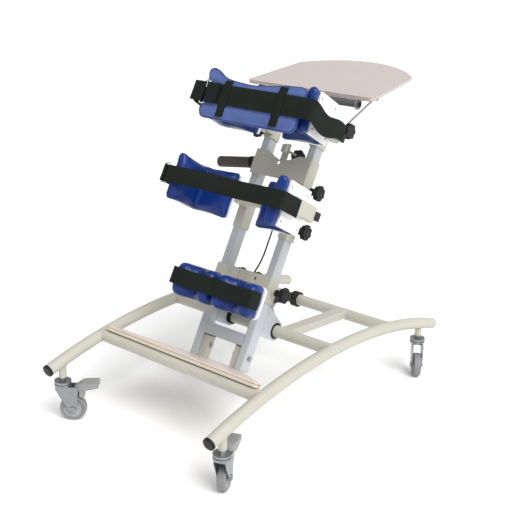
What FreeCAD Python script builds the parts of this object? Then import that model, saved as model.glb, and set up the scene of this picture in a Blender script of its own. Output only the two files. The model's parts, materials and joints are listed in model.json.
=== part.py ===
import FreeCAD, Part
import math
import os

V = FreeCAD.Vector
os.makedirs("parts", exist_ok=True)

# Fits and clearances shared by all pieces
run_gap = 0.05
slide_gap = 0.3
seat_gap = 0.3
weld_gap = 0.02
cut_over = 3.0

# Base frame: two bowed side rails joined by three cross tubes
tube_r = 17.5
tube_wall = 2.0
track_half = 295.0
bow_r = 1850.0
bow_apex_y = -34.0
wheel_r = 37.5
socket_over_wheel = 55.0
socket_low_z = wheel_r * 2 + socket_over_wheel
rail_half = 565.0
front_stem_inset = 60.0
rear_stem_inset = 93.0
front_stem_y = front_stem_inset - rail_half
rear_stem_y = rail_half - rear_stem_inset
rear_fall = bow_r - math.sqrt(bow_r ** 2 - (rear_stem_y - bow_apex_y) ** 2)
rail_over_socket = 40.45609667673443
bow_apex_z = socket_low_z + rail_over_socket + rear_fall
front_cross_y = -354.0
mid_cross_y = -36.0
rear_cross_y = 272.0
front_plug_cap = 8.0
rear_plug_cap = 2.5
front_plug_round = 3.5
rear_plug_round = 1.0
plug_insert = 16.0
plug_gap = 0.1
stiff_x = 130.0
stiff_width = 40.0
stiff_height = 25.0
stiff_drop = 2.0
stiff_corner = 4.0
box_wall = 2.0

# Caster sockets, stems and forks
socket_r = 11.0
stem_r = 5.0
stem_top_above = 14.0
nut_r = 9.5
nut_high = 10.0
nut_sides = 6
crown_r = 24.0
crown_groove_r = 21.5
race_high = 6.0
groove_high = 3.0
fork_bridge = 4.0
fork_plate = 2.5
fork_half_top = 19.0
wheel_wide = 23.0
wheel_round = 4.5
tyre_deep = 10.5
wheel_rim_r = wheel_r - tyre_deep
wheel_dish = 3.0
wheel_side_gap = 3.0
trail = 29.0
axle_r = 4.0
axle_head_r = 8.0
axle_head = 3.0
fork_toe_r = 11.0
front_left_angle = 37.7
front_right_angle = 112.5
rear_left_angle = -127.0
rear_right_angle = -53.0

# Brake pedals on the front casters
pedal_pivot_x = 37.0
pedal_pivot_drop = 6.0
pedal_boss_r = 6.0
pedal_pin_r = 2.5
pedal_lobe_r = 8.0
pedal_reach = 103.0
pedal_rise = 16.0
pedal_tip_high = 15.0
pedal_tip_wide = 38.0
pedal_side_gap = 0.6
pedal_neck_x = 50.0
pedal_flare_x = 66.0
pedal_under = 3.0
pedal_round = 4.0
shoe_front_x = 48.0
shoe_back_x = 60.0
shoe_low_share = 0.55
shoe_gap = 0.6
pedal_turn_angle = 11.0

# Tilting mast: twin rectangular rails, leaning back
lean_angle = 27.7
pivot_z = bow_apex_z
pivot_depth = 106.0
pivot_along = 145.0
rail_inner = 71.0
rail_width = 25.0
rail_depth = 40.0
rail_corner = 3.0
foot_thick = 15.0
foot_inside_track = 18.0
foot_front_half = track_half - foot_inside_track
foot_back_half = 102.0
foot_band = 20.0
foot_over_tube = 15.407339462361875
foot_back_reach = 40.0
foot_front_corner = 12.0
foot_mid_corner = 30.0
foot_back_corner = 8.0
leg_side = 25.0
leg_front_y = 8.0
leg_high = 64.70971845834563
leg_corner = 2.5
leg_plug_cap = 3.0
leg_plug_insert = 12.0
bolt_above_foot = 40.70971845834563
bolt_r = 4.0
bolt_head_r = 7.0
bolt_head = 5.0
crossbar_tall = 35.0
crossbar_front_y = 2.0
crossbar_depth = 20.0
bracket_plate = 5.0
bracket_over_pivot = 60.0
bracket_under_pivot = 27.0
bracket_top = pivot_along + bracket_over_pivot
bracket_low = pivot_along - bracket_under_pivot
bracket_eye_r = 30.0
bearing_r = 24.0
bearing_inside = 11.0
bearing_outside = 2.0
bearing_inner_x = rail_inner - bearing_inside
bearing_outer_x = rail_inner + rail_width + bearing_outside
hinge_tube_r = 11.0
hinge_tube_half = 182.0
hinge_y = 8.0

# Gas spring between the rear cross tube and the left mast rail
spring_x = -50.0
anchor_forward = 28.0
anchor_above = 12.5
anchor_ring_r = 25.0
anchor_wide = 21.0
anchor_ear = 4.0
anchor_ear_r = 9.0
spring_pin_r = 4.0
spring_eye_r = 8.5
spring_side_gap = 0.5
cylinder_r = 11.0
cylinder_bore_r = 8.5
cylinder_start = 16.0
cylinder_reach = 214.0
gland_long = 14.0
gas_rod_r = 5.0
rod_inside = 24.0
rod_eye_r = 12.0
rod_eye_play = 2.5
rod_head_long = 30.0
rod_head_r = 9.0
spring_top_y = 28.0
spring_over_pivot = 17.0
spring_top_along = pivot_along + spring_over_pivot
spring_pin_short = 12.0
spring_pin_end = -spring_x - spring_pin_short
spring_washer = 3.0
spring_washer_r = 10.0

# Sliding carriages
sleeve_wall = 3.0
sleeve_corner = 4.0
knee_over_bracket = 6.0
knee_sleeve = 73.0
knee_low = bracket_top + knee_over_bracket
knee_high = knee_low + knee_sleeve
knee_plate_rise = 14.0
knee_plate_low = knee_low + knee_plate_rise
plate_thick = 4.0
slot_drop = 16.0
slot_along = knee_high - slot_drop
slot_x = 29.0
slot_in_travel = 0.5
slot_out_travel = 15.0
stud_r = 4.0
slot_play = 0.5
hip_over_knee = 115.0
hip_sleeve = 101.0
hip_low = knee_high + hip_over_knee
hip_high = hip_low + hip_sleeve
handle_over_hip = 30.0
handle_sleeve = 111.0
handle_left_sleeve = 66.0
handle_low = hip_high + handle_over_hip
handle_high = handle_low + handle_sleeve
handle_left_low = handle_high - handle_left_sleeve
handle_plate_high = 76.0
handle_plate_low = handle_high - handle_plate_high
tongue_above = 31.0
tongue_high = handle_high + tongue_above
chest_over_tongue = 8.0
chest_sleeve = 48.0
chest_low = tongue_high + chest_over_tongue
chest_high = chest_low + chest_sleeve
hinge_over_chest = 98.0
hinge_along = chest_high + hinge_over_chest
rail_under_hinge = 2.0
rail_top = hinge_along - rail_under_hinge

# Knee pads and their brackets
knee_pad_inner = 2.5
knee_pad_outer = 145.0
knee_pad_drop = 18.0
knee_pad_tall = 100.0
knee_pad_high = slot_along - knee_pad_drop
knee_pad_low = knee_pad_high - knee_pad_tall
knee_pad_back = 75.0
knee_pad_front = 135.0
knee_pad_valley = 105.0
knee_pad_side_share = 0.72
knee_hump_share = 0.1
knee_shoulder_share = 0.26
knee_shoulder_depth_share = 0.86
knee_board = 8.0
knee_board_inset = 3.0
knee_board_corner = 14.0
bracket_wide = 30.0
bracket_metal = 4.0
foot_above_slot = 14.0
foot_below_slot = 30.0
bracket_foot_high = slot_along + foot_above_slot
bracket_foot_low = slot_along - foot_below_slot
bracket_flange = 34.0
pad_edge_round = 12.0
pad_mid_round = 4.0

# Hip and chest supports
arm_tube = 25.0
holder_wall = 2.0
holder_gap = 0.5
holder_front = 78.0
holder_back_gap = 1.0
hip_tube_drop = 25.5
chest_tube_drop = 24.0
hip_tube_mid = hip_high - hip_tube_drop
chest_tube_mid = chest_high - chest_tube_drop
slider_inner = 42.0
hip_board_outer = 195.0
chest_board_outer = 190.0
board_thick = 8.0
pad_thick = 30.0
hip_leg_back = 83.0
chest_leg_back = 87.0
hip_leg_inner = 50.0
chest_leg_inner = 40.0
hip_wing_end = 235.0
chest_wing_end = 228.0
hip_pad_below = 78.5
hip_pad_above = 65.5
chest_pad_below = 49.0
chest_pad_above = 86.0
hip_pad_low = hip_tube_mid - hip_pad_below
hip_pad_high = hip_tube_mid + hip_pad_above
chest_pad_low = chest_tube_mid - chest_pad_below
chest_pad_high = chest_tube_mid + chest_pad_above
board_reach_share = 0.86
board_edge = 8.0
board_corner = 12.0
arm_box_thick = 18.0
arm_box_high = 45.0
hip_arm_short = 57.0
chest_arm_short = 78.0
hip_arm_reach = hip_wing_end - hip_arm_short
chest_arm_reach = chest_wing_end - chest_arm_short
arm_box_corner = 2.5
arm_plug = 3.0
arm_plug_gap = 0.2
pad_crease = 16.0
pad_back_corner = 22.0
pad_nose_share = 0.42

# Straps, belt and wire rings
strap_thick = 2.0
knee_strap_rise = 29.0
knee_strap_tall = 49.0
knee_strap_low = knee_pad_low + knee_strap_rise
knee_strap_high = knee_strap_low + knee_strap_tall
strap_bend = 6.0
strap_wrap = 40.0
hip_strap_drop = 32.5
hip_strap_tall = 50.0
hip_strap_low = hip_tube_mid - hip_strap_drop
hip_strap_high = hip_strap_low + hip_strap_tall
hip_strap_over = 5.0
hip_strap_front = hip_wing_end + hip_strap_over
chest_strap_drop = 19.0
chest_strap_tall = 58.0
chest_strap_low = chest_tube_mid - chest_strap_drop
chest_strap_high = chest_strap_low + chest_strap_tall
chest_strap_back = 45.0
belt_half = 172.0
belt_thick = 18.0
belt_drop = 59.0
belt_tall = 135.0
belt_low = chest_tube_mid - belt_drop
belt_high = belt_low + belt_tall
belt_round = 6.0
belt_corner = 16.0
ring_wire_r = 2.0
ring_wide = 16.0
chest_ring_x = 145.0

# Star knobs
knob_r = 23.0
knob_high = 15.0
knob_boss_r = 11.0
knob_boss = 8.0
knob_scallop_r = 9.0
knob_scallop_out = 29.0
knob_lobes = 7
knob_edge = 2.0
knee_knob_rise = 35.0
hip_knob_rise = 36.0
handle_knob_rise = 23.0
chest_knob_rise = 22.0
knee_knob_along = knee_low + knee_knob_rise
hip_knob_along = hip_low + hip_knob_rise
handle_knob_along = handle_low + handle_knob_rise
chest_knob_along = chest_low + chest_knob_rise
clamp_stud = 22.0
clamp_boss_r = 9.0
clamp_boss = 12.0
knee_rear_knob_y = 12.0
rear_knob_stem = 8.0
knob_floor = 5.0

# Handle bracket, release lever and cable
notch_half = 34.0
notch_deep = 24.0
notch_peak = 12.0
peak_half = 22.0
sight_hole_x = -10.0
sight_hole_drop = 30.0
sight_hole_along = handle_high - sight_hole_drop
sight_hole_r = 5.0
tongue_half = 11.0
rear_stud_drop = 18.0
rear_stud_along = tongue_high - rear_stud_drop
rear_knob_y = 50.0
clevis_half = 8.0
clevis_deep = 16.0
clevis_high = 24.0
lever_y = 40.0
lever_drop = 33.0
lever_along = handle_high - lever_drop
lever_root_out = 18.0
lever_root_x = rail_inner + rail_width + lever_root_out
lever_long = 141.0
lever_end_x = lever_root_x + lever_long
lever_droop_angle = 8.7
lever_r = 8.0
grip_r = 17.0
grip_end_round = 6.0
grip_start = 27.0
grip_start_x = lever_root_x + grip_start
collar_r = 19.0
collar_long = 10.0
lever_boss_r = 13.0
lever_boss_deep = 16.0
lever_ear = 5.0
lever_pin_r = 4.0
cable_r = 2.5
cable_y = 62.0
cable_top_drop = 18.0
cable_top_along = lever_along - cable_top_drop
tongue_low = cable_top_along
cable_bend_high = 60.0
cable_bend_low = 60.0
cable_over_knee = 16.0
cable_low_along = knee_high + cable_over_knee
cable_seat = 1.4
cable_guide_half = 7.0
cable_guide_high = 14.0

# Tray, its hinge brackets and the strut
tray_tilt_angle = 8.5
tray_thick = 12.0
tray_near_half = 224.0
tray_mid_half = 216.0
tray_mid_depth = 131.0
tray_far_half = 206.0
tray_far_depth = 252.0
tray_bow_half = 112.0
tray_bow_depth = 325.0
tray_depth = 352.0
tray_near_corner = 14.0
tray_near_u = -2.0
tray_over_tube = 1.2
tray_plate = 4.0
tray_plate_inside = 8.0
tray_plate_x = hinge_tube_half - tray_plate_inside
tray_plate_r = 17.0
tray_bar_near = 26.0
tray_bar_wide = 34.0
strut_inside = 40.0
strut_x = hinge_tube_half - strut_inside
strut_r = 4.0
strut_beyond = 62.0
strut_eye_depth = 24.0
eye_over_chest = 20.0
strut_eye_along = chest_high + eye_over_chest
strut_lug_u = 149.4
strut_lug_w = -23.8
strut_pin_r = 3.0
strut_pin_play = 1.0
strut_head_r = 8.5
strut_head_half = 4.0
strut_ear = 3.0
strut_ear_gap = 1.0
lug_base_long = 44.0
lug_base = 3.0
eye_block_r = 11.0
eye_block_half = 10.0
eye_pin_r = 6.0
eye_pin_long = 20.0
eye_boss_r = 10.0
eye_stub_r = 4.0
eye_stub_long = 13.0


def box(x0, x1, y0, y1, z0, z1):
    low = V(min(x0, x1), min(y0, y1), min(z0, z1))
    return Part.makeBox(abs(x1 - x0), abs(y1 - y0), abs(z1 - z0), low)


def cyl(p, q, r):
    axis = q.sub(p)
    return Part.makeCylinder(r, axis.Length, p, axis)


def cyl_x(x0, x1, y, z, r):
    return cyl(V(x0, y, z), V(x1, y, z), r)


def cyl_y(x, y0, y1, z, r):
    return cyl(V(x, y0, z), V(x, y1, z), r)


def cyl_z(x, y, z0, z1, r):
    return cyl(V(x, y, z0), V(x, y, z1), r)


def flip(shape):
    return shape.mirror(V(0, 0, 0), V(1, 0, 0))


def turned(shape, centre, axis, angle):
    copy = shape.copy()
    copy.rotate(centre, axis, angle)
    return copy


def moved(shape, offset):
    copy = shape.copy()
    copy.translate(offset)
    return copy


def corner_wire(points, radii):
    """Closed wire through points with each corner rounded by an arc of its radius."""
    edges = []
    count = len(points)
    starts = []
    ends = []
    mids = []
    for i in range(count):
        p = points[i]
        before = points[i - 1].sub(p)
        after = points[(i + 1) % count].sub(p)
        before.normalize()
        after.normalize()
        r = radii[i]
        if r <= 0:
            starts.append(p)
            ends.append(p)
            mids.append(None)
            continue
        half = before.getAngle(after) / 2
        reach = r / math.tan(half)
        bisector = before.add(after)
        bisector.normalize()
        starts.append(p.add(before * reach))
        ends.append(p.add(after * reach))
        mids.append(p.add(bisector * (r / math.sin(half) - r)))
    for i in range(count):
        if mids[i] is not None:
            edges.append(Part.Arc(starts[i], mids[i], ends[i]).toShape())
        following = (i + 1) % count
        edges.append(Part.makeLine(ends[i], starts[following]))
    return Part.Wire(edges)


def prism(points, radii, direction):
    return Part.Face(corner_wire(points, radii)).extrude(direction)


def rect_bar_z(x0, x1, y0, y1, z0, z1, corner):
    points = [V(x0, y0, z0), V(x1, y0, z0), V(x1, y1, z0), V(x0, y1, z0)]
    return prism(points, [corner] * 4, V(0, 0, z1 - z0))


def rect_bar_x(x0, x1, y0, y1, z0, z1, corner):
    points = [V(x0, y0, z0), V(x0, y1, z0), V(x0, y1, z1), V(x0, y0, z1)]
    return prism(points, [corner] * 4, V(x1 - x0, 0, 0))


def rect_bar_y(x0, x1, y0, y1, z0, z1, corner):
    points = [V(x0, y0, z0), V(x1, y0, z0), V(x1, y0, z1), V(x0, y0, z1)]
    return prism(points, [corner] * 4, V(0, y1 - y0, 0))


def tangent_outline(x, near, far, y, z, r):
    """Outline in the YZ plane at x from two near points to a round end about (y, z)."""
    points = []
    for (py, pz), side in ((near, 1), (far, -1)):
        span = math.hypot(py - y, pz - z)
        base = math.atan2(pz - z, py - y)
        swing = math.acos(r / span)
        angle = base - side * swing
        points.append(V(x, y + r * math.cos(angle), z + r * math.sin(angle)))
    a = math.atan2(points[0].z - z, points[0].y - y)
    b = math.atan2(points[1].z - z, points[1].y - y)
    while b > a:
        b -= math.tau
    half = (a + b) / 2
    mid = V(x, y + r * math.cos(half), z + r * math.sin(half))
    start = V(x, near[0], near[1])
    end = V(x, far[0], far[1])
    edges = [
        Part.makeLine(start, points[0]),
        Part.Arc(points[0], mid, points[1]).toShape(),
        Part.makeLine(points[1], end),
        Part.makeLine(end, start),
    ]
    return Part.Wire(edges)


def save(name, shapes):
    if isinstance(shapes, (list, tuple)):
        shape = shapes[0] if len(shapes) == 1 else Part.makeCompound(list(shapes))
    else:
        shape = shapes
    shape.exportStep("parts/" + name + ".step")
    return shape


# Place of the mast frame in the base frame
mast_origin = V(0, mid_cross_y, pivot_z)
mast_shift = V(0, -pivot_depth, -pivot_along)


def to_world(shape):
    copy = shape.copy()
    copy.translate(mast_shift)
    copy.rotate(V(0, 0, 0), V(1, 0, 0), -lean_angle)
    copy.translate(mast_origin)
    return copy


def mast_point(x, y, z):
    p = V(x, y, z).add(mast_shift)
    p = FreeCAD.Rotation(V(1, 0, 0), -lean_angle).multVec(p)
    return p.add(mast_origin)


def to_mast_point(p):
    q = p.sub(mast_origin)
    q = FreeCAD.Rotation(V(1, 0, 0), lean_angle).multVec(q)
    return q.sub(mast_shift)


def bow_z(y):
    return bow_apex_z - bow_r + math.sqrt(bow_r ** 2 - (y - bow_apex_y) ** 2)


# Base frame pieces
bow_centre_z = bow_apex_z - bow_r


def end_angle(side, cap, rounding):
    """Bow angle of a rail's end that puts its capped tip at the overall length."""
    angle = 0
    for _ in range(20):
        tilt = abs(angle)
        tip = (cap - rounding) * math.cos(tilt) + (tube_r - rounding) * math.sin(tilt)
        reach = rail_half - tip - rounding
        angle = math.asin((side * reach - bow_apex_y) / bow_r)
    return math.degrees(angle)


front_angle = end_angle(-1, front_plug_cap, front_plug_round)
rear_angle = end_angle(1, rear_plug_cap, rear_plug_round)


def bow_point(x, angle):
    a = math.radians(angle)
    return V(x, bow_apex_y + bow_r * math.sin(a), bow_centre_z + bow_r * math.cos(a))


def bow_tangent(angle):
    a = math.radians(angle)
    return V(0, math.cos(a), -math.sin(a))


def bow_rod(x, r, extra):
    start = bow_point(x, rear_angle + extra)
    circle = Part.makeCircle(r, start, bow_tangent(rear_angle + extra))
    face = Part.Face(Part.Wire(circle))
    sweep = rear_angle - front_angle + extra * 2
    return face.revolve(V(x, bow_apex_y, bow_centre_z), V(1, 0, 0), sweep)


end_overrun_angle = math.degrees(cut_over / bow_r)


def make_side_rail():
    solid = bow_rod(track_half, tube_r, 0)
    for y in (front_stem_y, rear_stem_y):
        socket = cyl_z(track_half, y, socket_low_z, bow_z(y), socket_r)
        solid = solid.fuse(socket)
    solid = solid.cut(bow_rod(track_half, tube_r - tube_wall, end_overrun_angle))
    for y in (front_stem_y, rear_stem_y):
        bore = cyl_z(track_half, y, socket_low_z - cut_over, bow_z(y), stem_r + run_gap)
        solid = solid.cut(bore)
    return solid


def make_cross_tube(y):
    z = bow_z(y)
    tube = cyl_x(-track_half, track_half, y, z, tube_r)
    tube = tube.cut(cyl_x(-track_half, track_half, y, z, tube_r - tube_wall))
    for side in (-track_half, track_half):
        tube = tube.cut(bow_rod(side, tube_r + weld_gap, 0))
    return tube


def make_stiffener():
    lift = tube_r - stiff_drop - stiff_height / 2
    start = V(stiff_x, mid_cross_y, bow_z(mid_cross_y) + lift)
    end = V(stiff_x, rear_cross_y, bow_z(rear_cross_y) + lift)
    run = end.sub(start)
    half_w = stiff_width / 2
    half_h = stiff_height / 2
    outer = rect_bar_y(-half_w, half_w, 0, run.Length, -half_h, half_h, stiff_corner)
    inner = rect_bar_y(
        -half_w + box_wall, half_w - box_wall, -cut_over, run.Length + cut_over,
        -half_h + box_wall, half_h - box_wall, stiff_corner - box_wall / 2)
    bar = outer.cut(inner)
    pitch = math.degrees(math.atan2(run.z, run.y))
    bar.rotate(V(0, 0, 0), V(1, 0, 0), pitch)
    bar.translate(start)
    for y in (mid_cross_y, rear_cross_y):
        x0 = stiff_x - stiff_width
        x1 = stiff_x + stiff_width
        bar = bar.cut(cyl_x(x0, x1, y, bow_z(y), tube_r + weld_gap))
    return bar


def make_plug(x, angle, outward, cap, rounding):
    """Cap and insert closing one end of a bowed rail."""
    disc = cyl_y(0, 0, cap, 0, tube_r)
    rim = [e for e in disc.Edges if abs(e.CenterOfMass.y - cap) < rounding / 2]
    rim = [e for e in rim if len(e.Vertexes) == 1]
    disc = disc.makeFillet(rounding, rim)
    insert = cyl_y(0, -plug_insert, 0, 0, tube_r - tube_wall - plug_gap)
    plug = disc.fuse(insert)
    if outward < 0:
        plug.rotate(V(0, 0, 0), V(1, 0, 0), math.degrees(math.pi))
    tangent = bow_tangent(angle)
    plug.rotate(V(0, 0, 0), V(1, 0, 0), math.degrees(math.atan2(tangent.z, tangent.y)))
    seat = bow_point(x, angle).add(tangent * (outward * weld_gap))
    plug.translate(seat)
    return plug


right_rail = make_side_rail()
save("side_rail_right", right_rail)
save("side_rail_left", flip(right_rail))
stiffener = make_stiffener()
cross_pieces = [make_cross_tube(y) for y in (front_cross_y, mid_cross_y, rear_cross_y)]
save("cross_frame", cross_pieces + [stiffener, flip(stiffener)])
plugs = []
for side in (-track_half, track_half):
    plugs.append(make_plug(side, front_angle, -1, front_plug_cap, front_plug_round))
    plugs.append(make_plug(side, rear_angle, 1, rear_plug_cap, rear_plug_round))
save("rail_end_plugs", plugs)

# Spring anchor: a clamp round the rear cross tube with two ears and a pin
rear_z = bow_z(rear_cross_y)
anchor_y = rear_cross_y - anchor_forward
anchor_z = rear_z + anchor_above
anchor_left = spring_x - anchor_wide / 2
anchor_right = spring_x + anchor_wide / 2
eye_half = anchor_wide / 2 - anchor_ear - spring_side_gap


def make_anchor():
    clamp = cyl_x(anchor_left, anchor_right, rear_cross_y, rear_z, anchor_ring_r)
    near = (rear_cross_y, rear_z - anchor_ring_r)
    far = (rear_cross_y, rear_z + anchor_ring_r)
    ears = Part.Face(tangent_outline(anchor_left, near, far, anchor_y, anchor_z, anchor_ear_r))
    clamp = clamp.fuse(ears.extrude(V(anchor_wide, 0, 0)))
    slot_half = anchor_wide / 2 - anchor_ear
    slot_r = cylinder_r + spring_side_gap * 2
    slot = cyl_x(spring_x - slot_half, spring_x + slot_half, anchor_y, anchor_z, slot_r)
    reach = box(
        spring_x - slot_half, spring_x + slot_half, anchor_y - anchor_ear_r - cut_over,
        anchor_y, anchor_z - anchor_ring_r, anchor_z + anchor_ring_r)
    clamp = clamp.cut(slot).cut(reach)
    tube = cyl_x(anchor_left - cut_over, anchor_right + cut_over, rear_cross_y, rear_z,
                 tube_r + weld_gap)
    clamp = clamp.cut(tube)
    pin = cyl_x(anchor_left, anchor_right, anchor_y, anchor_z, spring_pin_r)
    return clamp.fuse(pin)


save("spring_anchor", make_anchor())

# Gas spring
anchor_point = V(spring_x, anchor_y, anchor_z)
spring_top = mast_point(spring_x, spring_top_y, spring_top_along)
spring_axis = spring_top.sub(anchor_point)
spring_long = spring_axis.Length
spring_dir = V(spring_axis)
spring_dir.normalize()


def along_spring(distance):
    return anchor_point.add(spring_dir * distance)


def make_gas_cylinder():
    eye = cyl_x(spring_x - eye_half, spring_x + eye_half, anchor_y, anchor_z, spring_eye_r)
    shank = cyl(anchor_point, along_spring(cylinder_start + cut_over), eye_half)
    body = cyl(along_spring(cylinder_start), along_spring(cylinder_reach), cylinder_r)
    body = eye.fuse(shank).fuse(body)
    hollow = cyl(
        along_spring(cylinder_start + box_wall + cut_over),
        along_spring(cylinder_reach - gland_long), cylinder_bore_r)
    bore = cyl(
        along_spring(cylinder_reach - gland_long - cut_over),
        along_spring(cylinder_reach + cut_over), gas_rod_r + run_gap)
    hole = cyl_x(
        spring_x - anchor_wide, spring_x + anchor_wide, anchor_y, anchor_z,
        spring_pin_r + run_gap)
    return body.cut(hollow).cut(bore).cut(hole)


def make_gas_rod():
    rod = cyl(along_spring(cylinder_reach - rod_inside), spring_top, gas_rod_r)
    head = cyl(
        along_spring(spring_long - rod_head_long), along_spring(spring_long - rod_eye_r / 2),
        rod_head_r)
    eye = cyl_x(
        spring_x - rod_head_r, spring_x + rod_head_r, spring_top.y, spring_top.z, rod_eye_r)
    hole = cyl_x(
        spring_x - rod_head_r - cut_over, spring_x + rod_head_r + cut_over,
        spring_top.y, spring_top.z, spring_pin_r + rod_eye_play)
    return rod.fuse(head).fuse(eye).cut(hole)


save("gas_cylinder", make_gas_cylinder())
save("gas_rod", make_gas_rod())

# Casters, built about a stem on the Z axis with the trail along +X
crown_top = socket_low_z - seat_gap - nut_high
crown_low = crown_top - race_high * 2 - groove_high
fork_inner = wheel_wide / 2 + wheel_side_gap
fork_outer = fork_inner + fork_plate
pedal_pivot_z = crown_low - pedal_pivot_drop


def make_hexagon(x, y, z0, z1, r):
    points = []
    for i in range(nut_sides):
        a = i * math.tau / nut_sides
        points.append(V(x + r * math.cos(a), y + r * math.sin(a), z0))
    return prism(points, [0] * len(points), V(0, 0, z1 - z0))


def make_fork(with_pedal):
    solid = cyl_z(0, 0, crown_top - race_high, crown_top, crown_r)
    solid = solid.fuse(cyl_z(0, 0, crown_low, crown_top, crown_groove_r))
    solid = solid.fuse(cyl_z(0, 0, crown_low, crown_low + race_high, crown_r))
    stem_top = socket_low_z + stem_top_above
    solid = solid.fuse(cyl_z(0, 0, crown_low, stem_top, stem_r))
    solid = solid.fuse(make_hexagon(0, 0, crown_top, crown_top + nut_high, nut_r))
    bridge_low = crown_low - fork_bridge
    bridge = box(-fork_half_top, fork_half_top, -fork_outer, fork_outer, bridge_low, crown_low)
    solid = solid.fuse(bridge)
    if with_pedal:
        top_x = pedal_pivot_x
        top_z = pedal_pivot_z
    else:
        top_x = trail
        top_z = pedal_pivot_z
    outline = [
        V(-fork_half_top, -fork_outer, crown_low),
        V(-fork_half_top, -fork_outer, bridge_low - fork_bridge),
        V(trail - fork_toe_r, -fork_outer, wheel_r - fork_toe_r / 2),
        V(trail, -fork_outer, wheel_r - fork_toe_r),
        V(trail + fork_toe_r, -fork_outer, wheel_r - fork_toe_r / 2),
        V(top_x + pedal_lobe_r, -fork_outer, top_z - pedal_lobe_r),
        V(top_x + pedal_lobe_r, -fork_outer, crown_low),
    ]
    radii = [0, 0, fork_toe_r / 2, 0, fork_toe_r / 2, pedal_lobe_r / 2, pedal_lobe_r / 2]
    cheek = prism(outline, radii, V(0, fork_plate, 0))
    solid = solid.fuse(cheek)
    solid = solid.fuse(cheek.mirror(V(0, 0, 0), V(0, 1, 0)))
    axle = cyl_y(trail, -fork_outer - axle_head, fork_outer + axle_head, wheel_r, axle_r)
    heads = cyl_y(trail, -fork_outer - axle_head, fork_outer + axle_head, wheel_r, axle_head_r)
    heads = heads.cut(cyl_y(trail, -fork_outer, fork_outer, wheel_r, axle_head_r + cut_over))
    solid = solid.fuse(axle).fuse(heads)
    if with_pedal:
        pin = cyl_y(pedal_pivot_x, -fork_outer, fork_outer, pedal_pivot_z, pedal_pin_r)
        solid = solid.fuse(pin)
    return solid


def make_wheel():
    half = wheel_wide / 2
    outline = [
        V(axle_r + run_gap, -half, 0),
        V(wheel_rim_r - wheel_dish, -half, 0),
        V(wheel_rim_r, -half + wheel_dish, 0),
        V(wheel_rim_r + wheel_dish, -half, 0),
        V(wheel_r, -half, 0),
        V(wheel_r, half, 0),
        V(wheel_rim_r + wheel_dish, half, 0),
        V(wheel_rim_r, half - wheel_dish, 0),
        V(wheel_rim_r - wheel_dish, half, 0),
        V(axle_r + run_gap, half, 0),
    ]
    radii = [0, 0, 0, 0, wheel_round, wheel_round, 0, 0, 0, 0]
    face = Part.Face(corner_wire(outline, radii))
    wheel = face.revolve(V(0, 0, 0), V(0, 1, 0), math.degrees(math.tau))
    return moved(wheel, V(trail, 0, wheel_r))


def make_pedal():
    half_in = fork_inner - pedal_side_gap
    tip_top = pedal_pivot_z + pedal_rise + pedal_tip_high / 2
    tip_low = pedal_pivot_z + pedal_rise - pedal_tip_high / 2
    side = [
        V(pedal_pivot_x - pedal_boss_r, 0, pedal_pivot_z + pedal_boss_r / 2),
        V(pedal_pivot_x - pedal_boss_r, 0, pedal_pivot_z - pedal_boss_r),
        V(pedal_neck_x, 0, pedal_pivot_z - pedal_boss_r),
        V(pedal_reach, 0, tip_low),
        V(pedal_reach, 0, tip_top),
        V(pedal_neck_x + pedal_boss_r, 0, tip_top - pedal_under),
    ]
    radii = [pedal_boss_r / 2, pedal_boss_r / 2, pedal_boss_r, pedal_round, pedal_round,
             pedal_boss_r]
    half_tip = pedal_tip_wide / 2
    block = prism(side, radii, V(0, pedal_tip_wide, 0))
    block.translate(V(0, -half_tip, 0))
    floor_z = pedal_pivot_z - pedal_boss_r - cut_over
    plan = [
        V(pedal_pivot_x - pedal_boss_r - cut_over, -half_in, floor_z),
        V(pedal_neck_x, -half_in, floor_z),
        V(pedal_flare_x, -half_tip, floor_z),
        V(pedal_reach + cut_over, -half_tip, floor_z),
        V(pedal_reach + cut_over, half_tip, floor_z),
        V(pedal_flare_x, half_tip, floor_z),
        V(pedal_neck_x, half_in, floor_z),
        V(pedal_pivot_x - pedal_boss_r - cut_over, half_in, floor_z),
    ]
    mask = prism(plan, [0] * len(plan), V(0, 0, tip_top - floor_z + cut_over))
    block = block.common(mask)
    shoe_low = pedal_pivot_z - (pedal_pivot_z - wheel_r) * shoe_low_share
    shoe = box(shoe_front_x, shoe_back_x, -half_in, half_in, shoe_low, pedal_pivot_z)
    pivot = V(pedal_pivot_x, 0, pedal_pivot_z)
    pressed = turned(shoe, pivot, V(0, 1, 0), pedal_turn_angle)
    tread = cyl_y(trail, -wheel_wide, wheel_wide, wheel_r, wheel_r + shoe_gap)
    pressed = pressed.cut(tread)
    shoe = turned(pressed, pivot, V(0, 1, 0), -pedal_turn_angle)
    pedal = block.fuse(shoe)
    hole = cyl_y(pedal_pivot_x, -fork_outer, fork_outer, pedal_pivot_z, pedal_pin_r + run_gap)
    return pedal.cut(hole)


def set_caster(shape, x, y, angle):
    copy = turned(shape, V(0, 0, 0), V(0, 0, 1), angle)
    copy.translate(V(x, y, 0))
    return copy


plain_fork = make_fork(False)
brake_fork = make_fork(True)
wheel = make_wheel()
pedal = make_pedal()
caster_places = [
    ("front_left", -track_half, front_stem_y, front_left_angle, brake_fork),
    ("front_right", track_half, front_stem_y, front_right_angle, brake_fork),
    ("rear_left", -track_half, rear_stem_y, rear_left_angle, plain_fork),
    ("rear_right", track_half, rear_stem_y, rear_right_angle, plain_fork),
]
for place, x, y, angle, fork in caster_places:
    save("caster_fork_" + place, set_caster(fork, x, y, angle))
    save("caster_wheel_" + place, set_caster(wheel, x, y, angle))
    if fork is brake_fork:
        save("brake_pedal_" + place, set_caster(pedal, x, y, angle))

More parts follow.
